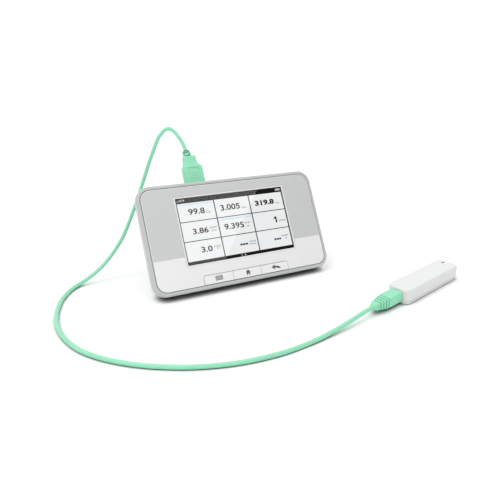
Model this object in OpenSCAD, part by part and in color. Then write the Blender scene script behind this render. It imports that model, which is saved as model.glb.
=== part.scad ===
// Handheld water quality reader with a cabled probe stick.
// The reader leans back on a foot strip and a fold-out stand. The probe lies on the
// same surface, and a thin cord with a plug on each end joins the two.
// Reader parts are drawn upright: x runs across the face, y is depth behind the
// face and z is height above its bottom edge. at_reader() leans them back.

/* [Reader case] */
// Width of the reader across its face
reader_w = 155; // [130:1:190]
// Height of the reader's face
reader_h = 86.4; // [83:0.2:110]
// Thickness of the reader from face to back
reader_t = 22; // [21:0.5:30]
// Radius of the reader's four corners
corner_r = 11; // [8:0.5:14]
// Wall thickness of the rear housing
wall = 2; // [1.6:0.1:2.4]
// Angle that the reader leans back from upright
lean = 29; // [20:1:32]
// Depth of the front frame ring
frame_d = 4; // [3.6:0.1:4.4]
// Width of the frame ring seen from the front
rim_w = 2.7; // [2.2:0.1:3.4]
// Gap between the frame ring and the panel
groove_w = 0.5; // [0.3:0.05:0.8]
// Thickness of the front panel
panel_t = 2.2; // [1.8:0.1:2.6]
// Height of the line where the grey overlay ends
overlay_z = 27.6; // [22:0.2:34]

/* [Screen] */
// Width of the lit area of the screen
screen_w = 95; // [80:0.5:98]
// Height of the lit area of the screen
screen_h = 53.8; // [46:0.2:56]
// Height of the lit area's bottom edge above the reader's bottom edge
screen_z = 20.4; // [19.8:0.2:24]
// Width of the white trim around the screen
trim_w = 1.2; // [0.8:0.1:1.6]
// Thickness of the touch glass
glass_t = 1.1; // [0.7:0.1:1.1]
// Thickness of the display module's body
lcd_t = 3.2; // [2.6:0.1:3.4]

/* [Keys] */
// Width of one key
key_w = 24.6; // [18:0.2:27]
// Height of one key
key_h = 7; // [5:0.2:7.4]
// Gap around each key
key_gap = 0.3; // [0.2:0.05:0.5]
// Thickness of a key cap
key_t = 1.6; // [1.2:0.1:1.6]
// Distance that a key travels
key_travel = 0.5; // [0.3:0.1:0.5]

/* [Stand] */
// Width of the fold-out leg
leg_w = 50; // [36:1:54]
// Thickness of the leg
leg_t = 3.4; // [3:0.1:3.6]
// Height of the leg's hinge pin above the bottom edge
hinge_z = 64; // [58:0.5:66]
// Angle between the leg and the back when it is open
stand_open = 49; // [44:1:52]
// Radius of the hinge pin
hinge_pin_r = 1; // [0.8:0.1:1.2]
// Radial clearance of the leg on the hinge pin
pin_clear = 0.05; // [0.03:0.01:0.08]
// Thickness of the rubber foot strip
foot_t = 0.6; // [0.4:0.1:1]
// Depth behind the face where the slanted foot face starts
foot_start = 10; // [8:0.5:12]

/* [Cord and plugs] */
// Diameter of the cord
cord_d = 3.1; // [2.6:0.1:3.1]
// Position of the reader's socket across the top wall
socket_x = -25; // [-30:0.5:-20]
// Depth of the socket's centre behind the face
socket_y = 9.5; // [9.3:0.1:9.7]
// Width of the plug's moulded grip
grip_w = 16.6; // [15:0.2:19]
// Thickness of the plug's moulded grip
grip_t = 8.4; // [7.6:0.2:9]
// Distance that a plug slides to come free
plug_travel = 12; // [8:1:14]

/* [Probe] */
// Length of the probe stick
probe_l = 78; // [60:1:95]
// Width of the probe stick
probe_w = 19; // [17:0.5:24]
// Height of the probe stick
probe_h = 12; // [11.5:0.5:16]
// Corner radius of the probe stick in plan
probe_r = 5; // [4:0.5:6.5]
// Wall thickness of the probe shells
probe_wall = 1.4; // [1:0.1:1.6]
// Height of the seam between the probe's two shells
seam_z = 2.4; // [2:0.1:3]
// Angle of the probe about the vertical
probe_yaw = 16; // [16:1:16]

/* [Hidden] */
$fn = 64;
eps = 0.01;

// Colours
c_white = [0.93, 0.93, 0.93];
c_grey = [0.80, 0.81, 0.80];
c_silver = [0.74, 0.75, 0.76];
c_green = [0.56, 0.90, 0.74];
c_dark_green = [0.18, 0.54, 0.38];
c_black = [0.08, 0.08, 0.09];
c_board = [0.05, 0.30, 0.18];
c_steel = [0.70, 0.70, 0.72];

// Reader outline
mid_z = reader_h / 2;
panel_w = reader_w - 2 * (rim_w + groove_w);
panel_h = reader_h - 2 * (rim_w + groove_w);
panel_z = rim_w + groove_w;
panel_r = corner_r - rim_w - groove_w;
ledge_w = 1.6;
overlay_t = 0.3;
overlay_inset = 0.6;

// Back of the case: the sides and the top slope in, and the foot face is level
side_start = 9;
side_inset = 8.5;
top_start = 15;
top_inset = reader_t - top_start;

// Lean of the reader, with the middle of its foot strip at the origin
strip_y = foot_start + 4.5;
strip_z = (strip_y - foot_start) * tan(lean);
strip_w = 110;
strip_l = 8;
reader_y = -(strip_y * cos(lean) + strip_z * sin(lean));
reader_z = foot_start * sin(lean) + foot_t;
function lean_point(x, y, z) = [x,
    reader_y + y * cos(lean) + z * sin(lean),
    reader_z - y * sin(lean) + z * cos(lean)];

// Screen stack, counted back from the face
window_w = screen_w + 2 * trim_w;
window_h = screen_h + 2 * trim_w;
screen_mid_z = screen_z + screen_h / 2;
fit_gap = 0.1;
glass_y = 0.25;
lcd_step_y = glass_y + glass_t + 0.15;
gasket_t = 0.4;
lcd_y = panel_t + gasket_t;
lcd_side = 5.2;
lcd_w = screen_w + 2 * lcd_side;
lcd_h = screen_h + 2 * 6.4;
bracket_y = lcd_y + lcd_t;
bracket_t = 0.8;
bracket_post_x = lcd_w / 2 + 3.8;
bracket_post_z = [screen_z + 4.6, screen_z + screen_h - 4.6];

// Main board, on posts of the rear housing
board_y = socket_y + 2.9;
board_t = 1.6;
board_w = 120;
board_z0 = 14;
board_z1 = reader_h - 4.4;
post_x = board_w / 2 - 6;
post_z = [board_z0 + 5, board_z1 - 5];
board_screw_r = 1;
board_hole_r = 1.3;

// Screws through the rear housing into posts of the panel
case_x = reader_w / 2 - 12.5;
case_z = [13, reader_h - 16];
case_screw_r = 1.25;
case_hole_r = 1.45;
head_r = 2.4;
head_h = 1.7;
head_pocket = 2.5;
post_end = 8;

// Stand
hinge_y = reader_t - 2.4;
pocket_y = hinge_y - 2.5;
pocket_w = leg_w + 3;
pocket_top = hinge_z + 3.2;
barrel_r = 2;
heel = 1.75;
leg_foot_r = 2.2;
hinge_up = lean_point(0, hinge_y, hinge_z)[2];
leg_l = (hinge_up - leg_foot_r) / cos(stand_open - lean);
pocket_bottom = hinge_z - leg_l - leg_foot_r - 0.5;
pin_l = pocket_w + 5;

// Keys: the strip ends at the panel's bottom edge
key_pitch = key_w + key_gap;
key_z0 = panel_z + 0.15;
key_mid_z = key_z0 + key_h / 2;
key_corner = 1.5;
notch_w = 3 * key_pitch + key_gap;
notch_top = key_z0 + key_h + key_gap;
key_post_r = 1.4;
key_board_y = 6.4;
switch_h = 1.6;
plunger_r = 0.9;
plunger_y = key_board_y - switch_h - 0.7;

// Sockets and plugs
shell_w = 12;
shell_t = 4.5;
shell_skin = 0.35;
socket_w = shell_w + 1.2;
socket_t = 5.8;
socket_skin = 0.4;
socket_l = 14;
plug_z = reader_h + 0.5;
grip_l = 15;
shoulder_l = 2.4;
taper_l = 6.2;
neck_l = 4.9;
neck_z = plug_z + grip_l + shoulder_l + taper_l;
waist_w = 11.6;
waist_t = 7;
tail_w = 10.6;
tail_t = 6.6;

// The cord pulls the soft end of the plug to one side
tail_x = socket_x - 0.7;
neck_x = socket_x - 1.5;
neck_lean = 8;
charge_x = 24;
charge_w = 8;
charge_h = 3;

// Probe, lying on the surface with its socket end towards the reader
probe_x = 88;
probe_y = -87;
probe_z = probe_h / 2;
mini_w = 6.9;
mini_h = 3.1;
mini_l = 6;
mini_skin = 0.3;
probe_grip_w = 10;
probe_grip_h = 8.6;
probe_grip_l = 16.5;
probe_face_gap = 0.3;
boot_l = 14.7;
boot_start = -probe_face_gap - probe_grip_l;
boot_end = boot_start - boot_l;
window_r = 3.6;

// The cord's path, from the end of the reader's plug to the end of the probe's plug
cord_start = lean_point(neck_x - neck_l * sin(neck_lean), socket_y,
    neck_z + neck_l * cos(neck_lean));
cord_end = [probe_x + boot_end * cos(probe_yaw), probe_y + boot_end * sin(probe_yaw), probe_z];
cord_points = [
    cord_start,
    cord_start + [-0.7, 3, 4.9],
    cord_start + [-2.4, 6.3, 9.4],
    cord_start + [-4.7, 9.2, 13.5],
    cord_start + [-7.2, 11, 16.2],
    cord_start + [-9.9, 12.2, 17.3],
    cord_start + [-12.8, 13.1, 16.3],
    cord_start + [-16, 13.8, 13],
    [-46, 64.8, 110.6], [-53.6, 65, 94.2], [-62, 64.6, 74], [-67, 63.4, 62.6],
    [-72.7, 62, 51], [-78.4, 60, 40.6], [-84.3, 58, 31.2], [-92.4, 56, 21.6],
    [-100.4, 54, 14], [-108.5, 52, 8.4], [-116.4, 50, 4.4], [-124.6, 46.6, 2],
    [-132, 39, 1.6], [-139, 26.5, 1.6], [-144, 11.5, 1.6], [-147, -4, 1.6],
    [-147.5, -20, 1.6], [-145, -37, 1.6], [-139, -54, 1.6], [-129, -69, 1.6],
    [-115, -83, 1.6], [-98, -95, 1.6], [-77.5, -105, 1.6], [-54, -111.5, 1.6],
    [-28, -113.5, 1.6], [-4, -110.8, 1.6], [14, -107.2, 2.4],
    cord_end + [-27.7, -7.9, -2.1],
    cord_end + [-14.7, -4.3, -0.8],
    cord_end + [-6.7, -2, -0.1],
    cord_end];
cord_sides = 8;
cord_steps = 2;

// ---------------------------------------------------------------- helpers

// Leans the reader back on its foot strip
module at_reader() {
    translate([0, reader_y, reader_z]) rotate([-lean, 0, 0]) children();
}

// Places the probe on the surface, with x along it and its socket end at x = 0
module at_probe() {
    translate([probe_x, probe_y, 0]) rotate([0, 0, probe_yaw]) children();
}

// Rounded rectangle about the origin, with true arcs
module round_rect(w, h, r) {
    square([w - 2 * r, h], center = true);
    square([w, h - 2 * r], center = true);
    for (x = [-1, 1], z = [-1, 1])
        translate([x * (w / 2 - r), z * (h / 2 - r)]) circle(r);
}

// Extrudes a face outline from depth y0 to depth y1
module slab(y0, y1) {
    translate([0, y1, 0]) rotate([90, 0, 0]) linear_extrude(y1 - y0) children();
}

// Rounded plate on the reader's axis, from depth y0 to y1, with its middle at height z
module plate(w, h, r, y0, y1, z = mid_z) {
    slab(y0, y1) translate([0, z]) round_rect(w, h, r);
}

// Box from corner to corner
module block(a, b) {
    translate(a) cube(b - a);
}

// Rod along the depth
module depth_rod(x, z, r, y0, y1) {
    translate([x, y0, z]) rotate([-90, 0, 0]) cylinder(h = y1 - y0, r = r);
}

// Extrudes a side profile, drawn as [depth, height], across the reader
module across(w) {
    translate([-w / 2, 0, 0]) rotate([90, 0, 90]) linear_extrude(w) children();
}

// The case's outer form shrunk by k on every face, from depth y0 back
module case_form(k, y0) {
    side_a = atan2(side_inset, reader_t - side_start);
    top_a = atan2(top_inset, reader_t - top_start);
    back = reader_t - k;
    side_k = side_start - k * tan(side_a / 2);
    top_k = top_start - k * tan(top_a / 2);
    foot_k = foot_start - k * tan(lean / 2);
    hw = reader_w / 2 - k;
    hw_back = hw - (back - side_k) * tan(side_a);
    top = reader_h - k;
    intersection() {
        plate(reader_w - 2 * k, reader_h - 2 * k, corner_r - k, y0, back);
        linear_extrude(reader_h)
            polygon([[-hw, -1], [hw, -1], [hw, side_k], [hw_back, back],
                [-hw_back, back], [-hw, side_k]]);
        across(reader_w)
            polygon([[-1, k], [foot_k, k], [back, k + (back - foot_k) * tan(lean)],
                [back, top - (back - top_k) * tan(top_a)], [top_k, top], [-1, top]]);
    }
}

// ---------------------------------------------------------------- reader case

module rear_housing() {
    color(c_white) at_reader() difference() {
        union() {
            difference() {
                case_form(0, frame_d);
                case_form(wall, frame_d - 1);
            }
            intersection() {
                case_form(wall / 2, frame_d);
                union() {
                    block([-pocket_w / 2 - wall, pocket_y - wall, 0],
                        [pocket_w / 2 + wall, reader_t, pocket_top + wall]);
                    for (s = [-1, 1])
                        block([s * (pin_l / 2 - 1) - 2.6, pocket_y - wall, hinge_z - 4],
                            [s * (pin_l / 2 - 1) + 2.6, reader_t, hinge_z + 4]);
                    for (x = [-1, 1], z = post_z)
                        depth_rod(x * post_x, z, 2.8, board_y + board_t, reader_t);
                    for (x = [-1, 1], z = case_z)
                        depth_rod(x * case_x, z, 3.4, post_end, reader_t);
                }
            }
        }
        block([-pocket_w / 2, pocket_y, pocket_bottom], [pocket_w / 2, reader_t + 1, pocket_top]);
        block([-9, pocket_y + 1.2, -1], [9, reader_t + 1, pocket_bottom + 1]);
        translate([-pin_l / 2, hinge_y, hinge_z]) rotate([0, 90, 0])
            cylinder(h = pin_l, r = hinge_pin_r);
        for (x = [-1, 1], z = post_z)
            depth_rod(x * post_x, z, board_screw_r, board_y + board_t - 1, 18);
        for (x = [-1, 1], z = case_z) {
            depth_rod(x * case_x, z, case_hole_r, frame_d, reader_t + 1);
            depth_rod(x * case_x, z, head_r + 0.3, reader_t - head_pocket, reader_t + 1);
        }
        block([socket_x - socket_w / 2, socket_y - socket_t / 2, reader_h - 2 * wall],
            [socket_x + socket_w / 2, socket_y + socket_t / 2, reader_h + 1]);
        block([charge_x - charge_w / 2, board_y - charge_h, reader_h - 2 * wall],
            [charge_x + charge_w / 2, board_y, reader_h + 1]);
        seal_ring(frame_d - 1, frame_d + 0.8);
    }
}

// Ring that the seal fills, half way through the housing wall
module seal_ring(y0, y1) {
    difference() {
        plate(reader_w - 1.4, reader_h - 1.4, corner_r - 0.7, y0, y1);
        plate(reader_w - 3, reader_h - 3, corner_r - 1.5, y0 - 1, y1 + 1);
    }
}

module housing_seal() {
    color(c_black) at_reader() seal_ring(frame_d, frame_d + 0.8);
}

module front_frame() {
    color(c_silver) at_reader() difference() {
        plate(reader_w, reader_h, corner_r, 0, frame_d);
        plate(panel_w + 2 * groove_w, panel_h + 2 * groove_w, panel_r + groove_w, -1, panel_t);
        plate(panel_w - 2 * ledge_w, panel_h - 2 * ledge_w, panel_r - ledge_w, -1, frame_d + 1);
    }
}

// Outline of the printed overlay, above the line at overlay_z
module overlay_outline() {
    difference() {
        intersection() {
            translate([0, mid_z])
                round_rect(panel_w - 2 * overlay_inset, panel_h - 2 * overlay_inset,
                    panel_r - overlay_inset);
            translate([-reader_w / 2, overlay_z]) square([reader_w, reader_h]);
        }
        translate([0, screen_mid_z]) square([window_w, window_h], center = true);
    }
}

module front_panel() {
    color(c_white) at_reader() difference() {
        union() {
            plate(panel_w, panel_h, panel_r, 0, panel_t);
            for (x = [-1, 1], z = case_z)
                depth_rod(x * case_x, z, 3, panel_t - eps, post_end);
            for (x = [-1, 1], z = bracket_post_z)
                depth_rod(x * bracket_post_x, z, 2, panel_t - eps, bracket_y);
        }
        block([-window_w / 2, -1, screen_z - trim_w],
            [window_w / 2, panel_t + 1, screen_z + screen_h + trim_w]);
        slab(-1, overlay_t) overlay_outline();
        slab(-1, panel_t + 1) key_notch();
        for (x = [-1, 1], z = case_z)
            depth_rod(x * case_x, z, case_screw_r, 3, post_end + 1);
        for (x = [-1, 1], z = bracket_post_z)
            depth_rod(x * bracket_post_x, z, 0.9, 3, bracket_y + 1);
    }
}

// Notch in the panel that the three keys fill
module key_notch() {
    translate([0, notch_top / 2])
        round_rect(notch_w, notch_top, key_corner);
    translate([-notch_w / 2, -1]) square([notch_w, notch_top / 2]);
}

module grey_overlay() {
    color(c_grey) at_reader() slab(0, overlay_t) overlay_outline();
}

module window_trim() {
    color(c_white) at_reader() slab(0, panel_t) difference() {
        translate([0, screen_mid_z]) square([window_w, window_h], center = true);
        translate([0, screen_mid_z]) square([screen_w, screen_h], center = true);
    }
}

module touch_glass() {
    color([0.85, 0.9, 0.92, 0.15]) at_reader()
        block([-screen_w / 2, glass_y, screen_z],
            [screen_w / 2, glass_y + glass_t, screen_z + screen_h]);
}

// ---------------------------------------------------------------- inside the reader

module lcd_module() {
    color([0.85, 0.86, 0.88]) at_reader() {
        block([-screen_w / 2 + fit_gap, lcd_step_y, screen_z + fit_gap],
            [screen_w / 2 - fit_gap, lcd_y + eps, screen_z + screen_h - fit_gap]);
        block([-lcd_w / 2, lcd_y, screen_mid_z - lcd_h / 2],
            [lcd_w / 2, bracket_y, screen_mid_z + lcd_h / 2]);
    }
}

module lcd_gasket() {
    color(c_black) at_reader() slab(panel_t, lcd_y) difference() {
        translate([0, screen_mid_z]) square([lcd_w - 1, window_h + 6], center = true);
        translate([0, screen_mid_z]) square([window_w, window_h], center = true);
    }
}

module lcd_bracket() {
    color(c_steel) at_reader() difference() {
        plate(lcd_w + 12, screen_h - 2, 3, bracket_y, bracket_y + bracket_t, screen_mid_z);
        plate(lcd_w - 20, screen_h - 22, 3, bracket_y - 1, bracket_y + 2, screen_mid_z);
        for (x = [-1, 1], z = bracket_post_z)
            depth_rod(x * bracket_post_x, z, 1.1, bracket_y - 1, bracket_y + 2);
    }
}

// Screw along the depth: head at depth y, shank of length l towards the face
module screw(x, z, y, shank_r, l, cap_r, cap_h) {
    difference() {
        union() {
            depth_rod(x, z, shank_r, y - l, y + eps);
            depth_rod(x, z, cap_r, y, y + cap_h);
        }
        for (a = [0, 90])
            translate([x, y + cap_h, z]) rotate([0, a, 0])
                cube([cap_r * 1.2, cap_h, cap_r * 0.3], center = true);
    }
}

module lcd_screws() {
    color(c_steel) at_reader() for (x = [-1, 1], z = bracket_post_z)
        screw(x * bracket_post_x, z, bracket_y + bracket_t, 0.9, 3.2, 1.8, 1);
}

module main_board() {
    color(c_board) at_reader() difference() {
        block([-board_w / 2, board_y, board_z0], [board_w / 2, board_y + board_t, board_z1]);
        for (x = [-1, 1], z = post_z)
            depth_rod(x * post_x, z, board_hole_r, board_y - 1, board_y + board_t + 1);
    }
}

module board_screws() {
    color(c_steel) at_reader() for (x = [-1, 1], z = post_z)
        translate([x * post_x, board_y, z]) mirror([0, 1, 0])
            screw(0, 0, 0, board_screw_r, 5, 2, 1.2);
}

module shield_can() {
    color(c_steel) at_reader() difference() {
        block([-10, board_y - 2.6, 34], [20, board_y, 60]);
        block([-9.7, board_y - 2.3, 34.3], [19.7, board_y + 1, 59.7]);
    }
}

// Open-ended metal shell that goes down from height z
module shell_tube(x, y, w, t, skin, z, l) {
    difference() {
        block([x - w / 2, y - t / 2, z - l], [x + w / 2, y + t / 2, z]);
        block([x - w / 2 + skin, y - t / 2 + skin, z - l + skin],
            [x + w / 2 - skin, y + t / 2 - skin, z + 1]);
    }
}

module usb_socket() {
    color(c_steel) at_reader()
        shell_tube(socket_x, socket_y, socket_w, socket_t, socket_skin, reader_h - 0.2, socket_l);
}

module usb_socket_tongue() {
    floor_z = reader_h - 0.2 - socket_l + socket_skin;
    color(c_white) at_reader() {
        block([socket_x - 5.4, socket_y + 0.1, floor_z],
            [socket_x + 5.4, socket_y + 1.7, reader_h - 2]);
        block([socket_x - 5.4, socket_y - 2.3, floor_z], [socket_x + 5.4, socket_y + 1, floor_z + 1.6]);
    }
}

module charge_socket() {
    color(c_steel) at_reader() difference() {
        block([charge_x - charge_w / 2, board_y - charge_h, reader_h - 7.2],
            [charge_x + charge_w / 2, board_y, reader_h - 0.2]);
        block([charge_x - charge_w / 2 + 0.3, board_y - charge_h + 0.3, reader_h - 6],
            [charge_x + charge_w / 2 - 0.3, board_y - 0.3, reader_h]);
        block([charge_x - 3, board_y - 1.8, reader_h - 6.1], [charge_x + 3, board_y - 1.2, reader_h]);
    }
}

module battery_pack() {
    color([0.25, 0.27, 0.30]) at_reader() difference() {
        block([pocket_w / 2 + wall + 3, board_y + board_t + 0.4, 25],
            [reader_w / 2 - 17, reader_t - wall - 0.4, 70]);
        block([pocket_w / 2 + wall + 2, board_y + board_t + 2.2, 66],
            [reader_w / 2 - 16.5, board_y + board_t + 2.6, 71]);
    }
}

module buzzer() {
    color(c_black) at_reader() difference() {
        depth_rod(-44, 48, 5, board_y + board_t, board_y + board_t + 3.4);
        depth_rod(-44, 48, 0.9, board_y + board_t + 2.4, board_y + board_t + 4);
    }
}

module housing_screws() {
    color(c_steel) at_reader() for (x = [-1, 1], z = case_z)
        screw(x * case_x, z, reader_t - head_pocket, case_screw_r, reader_t - head_pocket - 3.6,
            head_r, head_h);
}

module base_pad() {
    color(c_black) at_reader() translate([0, strip_y, strip_z]) rotate([lean, 0, 0])
        translate([0, 0, -foot_t]) linear_extrude(foot_t) round_rect(strip_w, strip_l, 2);
}

// ---------------------------------------------------------------- stand

module hinge_pin() {
    color(c_steel) at_reader() translate([-pin_l / 2, hinge_y, hinge_z]) rotate([0, 90, 0])
        cylinder(h = pin_l, r = hinge_pin_r);
}

// Opens the stand about its hinge; its parts are drawn folded, hanging below the pin
module at_stand() {
    at_reader() translate([0, hinge_y, hinge_z]) rotate([stand_open, 0, 0]) children();
}

module stand_leg() {
    color(c_white) at_stand() difference() {
        union() {
            block([-leg_w / 2, -leg_t / 2, 1 - leg_l], [leg_w / 2, leg_t / 2, heel]);
            translate([-leg_w / 2, 0, 0]) rotate([0, 90, 0]) cylinder(h = leg_w, r = barrel_r);
        }
        translate([-leg_w / 2 - 1, 0, 0]) rotate([0, 90, 0])
            cylinder(h = leg_w + 2, r = hinge_pin_r + pin_clear);
        block([-leg_w / 2 + 8, leg_t / 2 - 0.8, 6 - leg_l], [leg_w / 2 - 8, leg_t, -8]);
    }
}

module stand_foot() {
    color(c_black) at_stand() difference() {
        translate([-leg_w / 2 + 2, 0, -leg_l]) rotate([0, 90, 0])
            cylinder(h = leg_w - 4, r = leg_foot_r);
        block([-leg_w, -leg_t / 2, 1 - leg_l], [leg_w, leg_t / 2, 10]);
    }
}

// ---------------------------------------------------------------- keys

module key_board() {
    color(c_board) at_reader()
        block([-notch_w / 2, key_board_y, key_z0 + 0.4], [notch_w / 2, key_board_y + 1, 12]);
}

module key_switches() {
    color(c_steel) at_reader() for (i = [-1, 0, 1]) difference() {
        block([i * key_pitch - 2.6, key_board_y - switch_h, key_mid_z - 1.8],
            [i * key_pitch + 2.6, key_board_y, key_mid_z + 1.8]);
        depth_rod(i * key_pitch, key_mid_z, plunger_r + pin_clear, key_board_y - switch_h - 1,
            key_board_y - 0.4);
    }
}

// One key cap with its post; side is -1, 0 or 1 from left to right
module key_cap(side) {
    color(c_white) at_reader() {
        slab(0, key_t) translate([side * key_pitch, key_mid_z]) key_outline(side);
        depth_rod(side * key_pitch, key_mid_z, key_post_r, key_t - eps, plunger_y);
    }
}

// Outline of a key: the two outer keys have one round upper corner each
module key_outline(side) {
    r = side == 0 ? 0.3 : key_corner - key_gap;
    difference() {
        square([key_w, key_h], center = true);
        if (side != 0)
            translate([side * key_w / 2 - side * r, key_h / 2 - r])
                translate([side > 0 ? 0 : -r - 1, 0]) square([r + 1, r + 1]);
    }
    if (side != 0)
        translate([side * (key_w / 2 - r), key_h / 2 - r]) circle(r);
}

module key_plunger(side) {
    color(c_black) at_reader()
        depth_rod(side * key_pitch, key_mid_z, plunger_r, plunger_y, key_board_y - 1);
}

module menu_key() { key_cap(-1); }
module home_key() { key_cap(0); }
module back_key() { key_cap(1); }
module menu_plunger() { key_plunger(-1); }
module home_plunger() { key_plunger(0); }
module back_plunger() { key_plunger(1); }

// ---------------------------------------------------------------- reader's plug

// Slice of the plug's grip at height z
module grip_slice(w, t, z, h, r, x = socket_x) {
    translate([x, socket_y, z]) linear_extrude(h) round_rect(w, t, r);
}

module usb_plug_body() {
    top = plug_z + grip_l;
    waist = top + shoulder_l;
    color(c_green) at_reader() difference() {
        union() {
            grip_slice(grip_w, grip_t, plug_z, grip_l, 2);
            hull() {
                grip_slice(grip_w, grip_t, top - 0.1, 0.1, 2, $fn = 32);
                grip_slice(waist_w, waist_t, waist, 0.1, 2, tail_x, $fn = 32);
            }
            hull() {
                grip_slice(waist_w, waist_t, waist, 0.1, 2, tail_x, $fn = 32);
                grip_slice(tail_w, tail_t, neck_z - 0.1, 0.1, 2, tail_x, $fn = 32);
            }
        }
        block([socket_x - shell_w / 2, socket_y - shell_t / 2, plug_z - 1],
            [socket_x + shell_w / 2, socket_y + shell_t / 2, plug_z + 1.5]);
        block([socket_x - 4.6, socket_y - grip_t, plug_z + 2.4],
            [socket_x + 4.6, socket_y - grip_t / 2 + 0.4, plug_z + 13.4]);
    }
}

module usb_plug_neck() {
    color(c_dark_green) at_reader() intersection() {
        translate([neck_x, socket_y, neck_z]) rotate([0, -neck_lean, 0])
            rotate_extrude() neck_profile();
        block([neck_x - grip_w, socket_y - grip_t, neck_z],
            [neck_x + grip_w, socket_y + grip_t, neck_z + 2 * neck_l]);
    }
}

// Half section of the ribbed neck, closed on its axis
module neck_profile() {
    rib = 0.9;
    pitch = (neck_l - rib) / 3;
    translate([0, -1]) square([2.4, neck_l + 1]);
    for (i = [0 : 3]) translate([0, i * pitch]) square([3.25 - 0.08 * i, rib]);
}

module usb_plug_shell() {
    color(c_steel) at_reader() difference() {
        block([socket_x - shell_w / 2, socket_y - shell_t / 2, plug_z - 11.5],
            [socket_x + shell_w / 2, socket_y + shell_t / 2, plug_z + 1.5]);
        block([socket_x - shell_w / 2 + shell_skin, socket_y - shell_t / 2 + shell_skin, plug_z - 13],
            [socket_x + shell_w / 2 - shell_skin, socket_y + shell_t / 2 - shell_skin, plug_z + 0.8]);
    }
}

module usb_plug_insert() {
    color(c_white) at_reader()
        block([socket_x - shell_w / 2 + shell_skin, socket_y - shell_t / 2 + shell_skin, plug_z - 11.2],
            [socket_x + shell_w / 2 - shell_skin, socket_y - 0.05, plug_z + 0.8]);
}

// ---------------------------------------------------------------- cord

// Point i of the path, held at its ends
function path_at(i) = cord_points[max(0, min(len(cord_points) - 1, i))];

// Smooth curve through the path's points, u from 0 to 1 on stretch i
function cord_at(i, u) =
    let (p0 = path_at(i - 1), p1 = path_at(i), p2 = path_at(i + 1), p3 = path_at(i + 2))
    0.5 * (2 * p1 + (p2 - p0) * u + (2 * p0 - 5 * p1 + 4 * p2 - p3) * u * u
        + (3 * p1 - p0 - 3 * p2 + p3) * u * u * u);

function unit(v) = v / norm(v);

// Ring k of the tube, square to the path and never turned about it
function cord_ring(k, pts) =
    let (last = len(pts) - 1,
        t = k == 0 ? lean_point(-sin(neck_lean), 0, cos(neck_lean)) - lean_point(0, 0, 0)
            : k == last ? [cos(probe_yaw), sin(probe_yaw), 0]
            : unit(pts[k + 1] - pts[k - 1]),
        a = unit(cross(t, [0, 1, -1])),
        b = cross(a, t))
    [for (j = [0 : cord_sides - 1])
        let (g = 360 * (j + 0.5) / cord_sides)
        pts[k] + (a * cos(g) + b * sin(g)) * cord_d / 2];

module cord() {
    stretches = len(cord_points) - 1;
    pts = [for (i = [0 : stretches - 1], s = [0 : cord_steps - 1]) cord_at(i, s / cord_steps),
        cord_points[stretches]];
    rings = len(pts);
    color(c_green) polyhedron(
        points = [for (k = [0 : rings - 1]) each cord_ring(k, pts)],
        faces = concat(
            [[for (j = [0 : cord_sides - 1]) j]],
            [[for (j = [0 : cord_sides - 1]) (rings - 1) * cord_sides + cord_sides - 1 - j]],
            [for (k = [0 : rings - 2], j = [0 : cord_sides - 1])
                let (n = (j + 1) % cord_sides, a = k * cord_sides, b = a + cord_sides)
                [a + n, a + j, b + j, b + n]]));
}

// ---------------------------------------------------------------- probe's plug

// Slice of the probe plug at position x along the probe's axis
module stick_slice(x, w, h, r, l = 0.1) {
    translate([x, 0, probe_z]) rotate([0, 90, 0]) linear_extrude(l) round_rect(h, w, r);
}

module probe_plug_body() {
    color(c_green) at_probe() difference() {
        stick_slice(boot_start, probe_grip_w, probe_grip_h, 1.4, probe_grip_l);
        block([-2, -mini_w / 2, probe_z - mini_h / 2], [1, mini_w / 2, probe_z + mini_h / 2]);
    }
}

// Strain relief: ribs that shrink towards the cord, on a slim core
module probe_plug_boot() {
    pitch = 2.8;
    gap = 0.9;
    color(c_green) at_probe() {
        translate([boot_end, 0, probe_z]) rotate([0, 90, 0])
            cylinder(h = boot_l, r1 = cord_d / 2 + 0.5, r2 = 3.4);
        for (i = [0 : 3])
            stick_slice(boot_start - (i + 1) * pitch, probe_grip_w - 0.3 - 0.85 * i,
                probe_grip_h - 0.3 - 0.75 * i, 1.2, pitch - gap);
    }
}

module probe_plug_shell() {
    color(c_steel) at_probe() difference() {
        block([-1.8, -mini_w / 2, probe_z - mini_h / 2], [5.2, mini_w / 2, probe_z + mini_h / 2]);
        block([-1.2, -mini_w / 2 + mini_skin, probe_z - mini_h / 2 + mini_skin],
            [6, mini_w / 2 - mini_skin, probe_z + mini_h / 2 - mini_skin]);
    }
}

// ---------------------------------------------------------------- probe

// Solid stick from height z0 to z1, shrunk by k all round
module stick(k, z0, z1) {
    translate([probe_l / 2, 0, z0]) linear_extrude(z1 - z0)
        round_rect(probe_l - 2 * k, probe_w - 2 * k, probe_r - k);
}

slot_x = probe_l - 5.7;
slot_y = 2.5;
slot_l = 4.6;
slot_w = 1.3;

module slot_outline() {
    square([slot_l - slot_w, slot_w], center = true);
    for (s = [-1, 1]) translate([s * (slot_l - slot_w) / 2, 0]) circle(slot_w / 2);
}

module probe_upper_shell() {
    color(c_white) at_probe() difference() {
        stick(0, seam_z, probe_h);
        stick(probe_wall, seam_z - 1, probe_h - probe_wall);
        translate([slot_x, slot_y, 0]) linear_extrude(probe_h + 1) slot_outline();
        block([-1, -mini_w / 2 - 0.5, probe_z - mini_h / 2 - 0.5],
            [probe_wall + 1, mini_w / 2 + 0.5, probe_z + mini_h / 2 + 0.5]);
        translate([probe_l - probe_wall - 1, 0, probe_z]) rotate([0, 90, 0])
            cylinder(h = 4, r = window_r + 0.6);
    }
}

module probe_lower_shell() {
    color(c_white) at_probe() difference() {
        union() {
            stick(0, 0, seam_z - 0.15);
            stick(probe_wall + 0.15, 0, seam_z + 0.8);
        }
        stick(2 * probe_wall, probe_wall, probe_h);
        translate([probe_l - 4 * probe_wall, 0, probe_z]) rotate([0, 90, 0])
            cylinder(h = 8, r = window_r + 0.6);
    }
}

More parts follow.
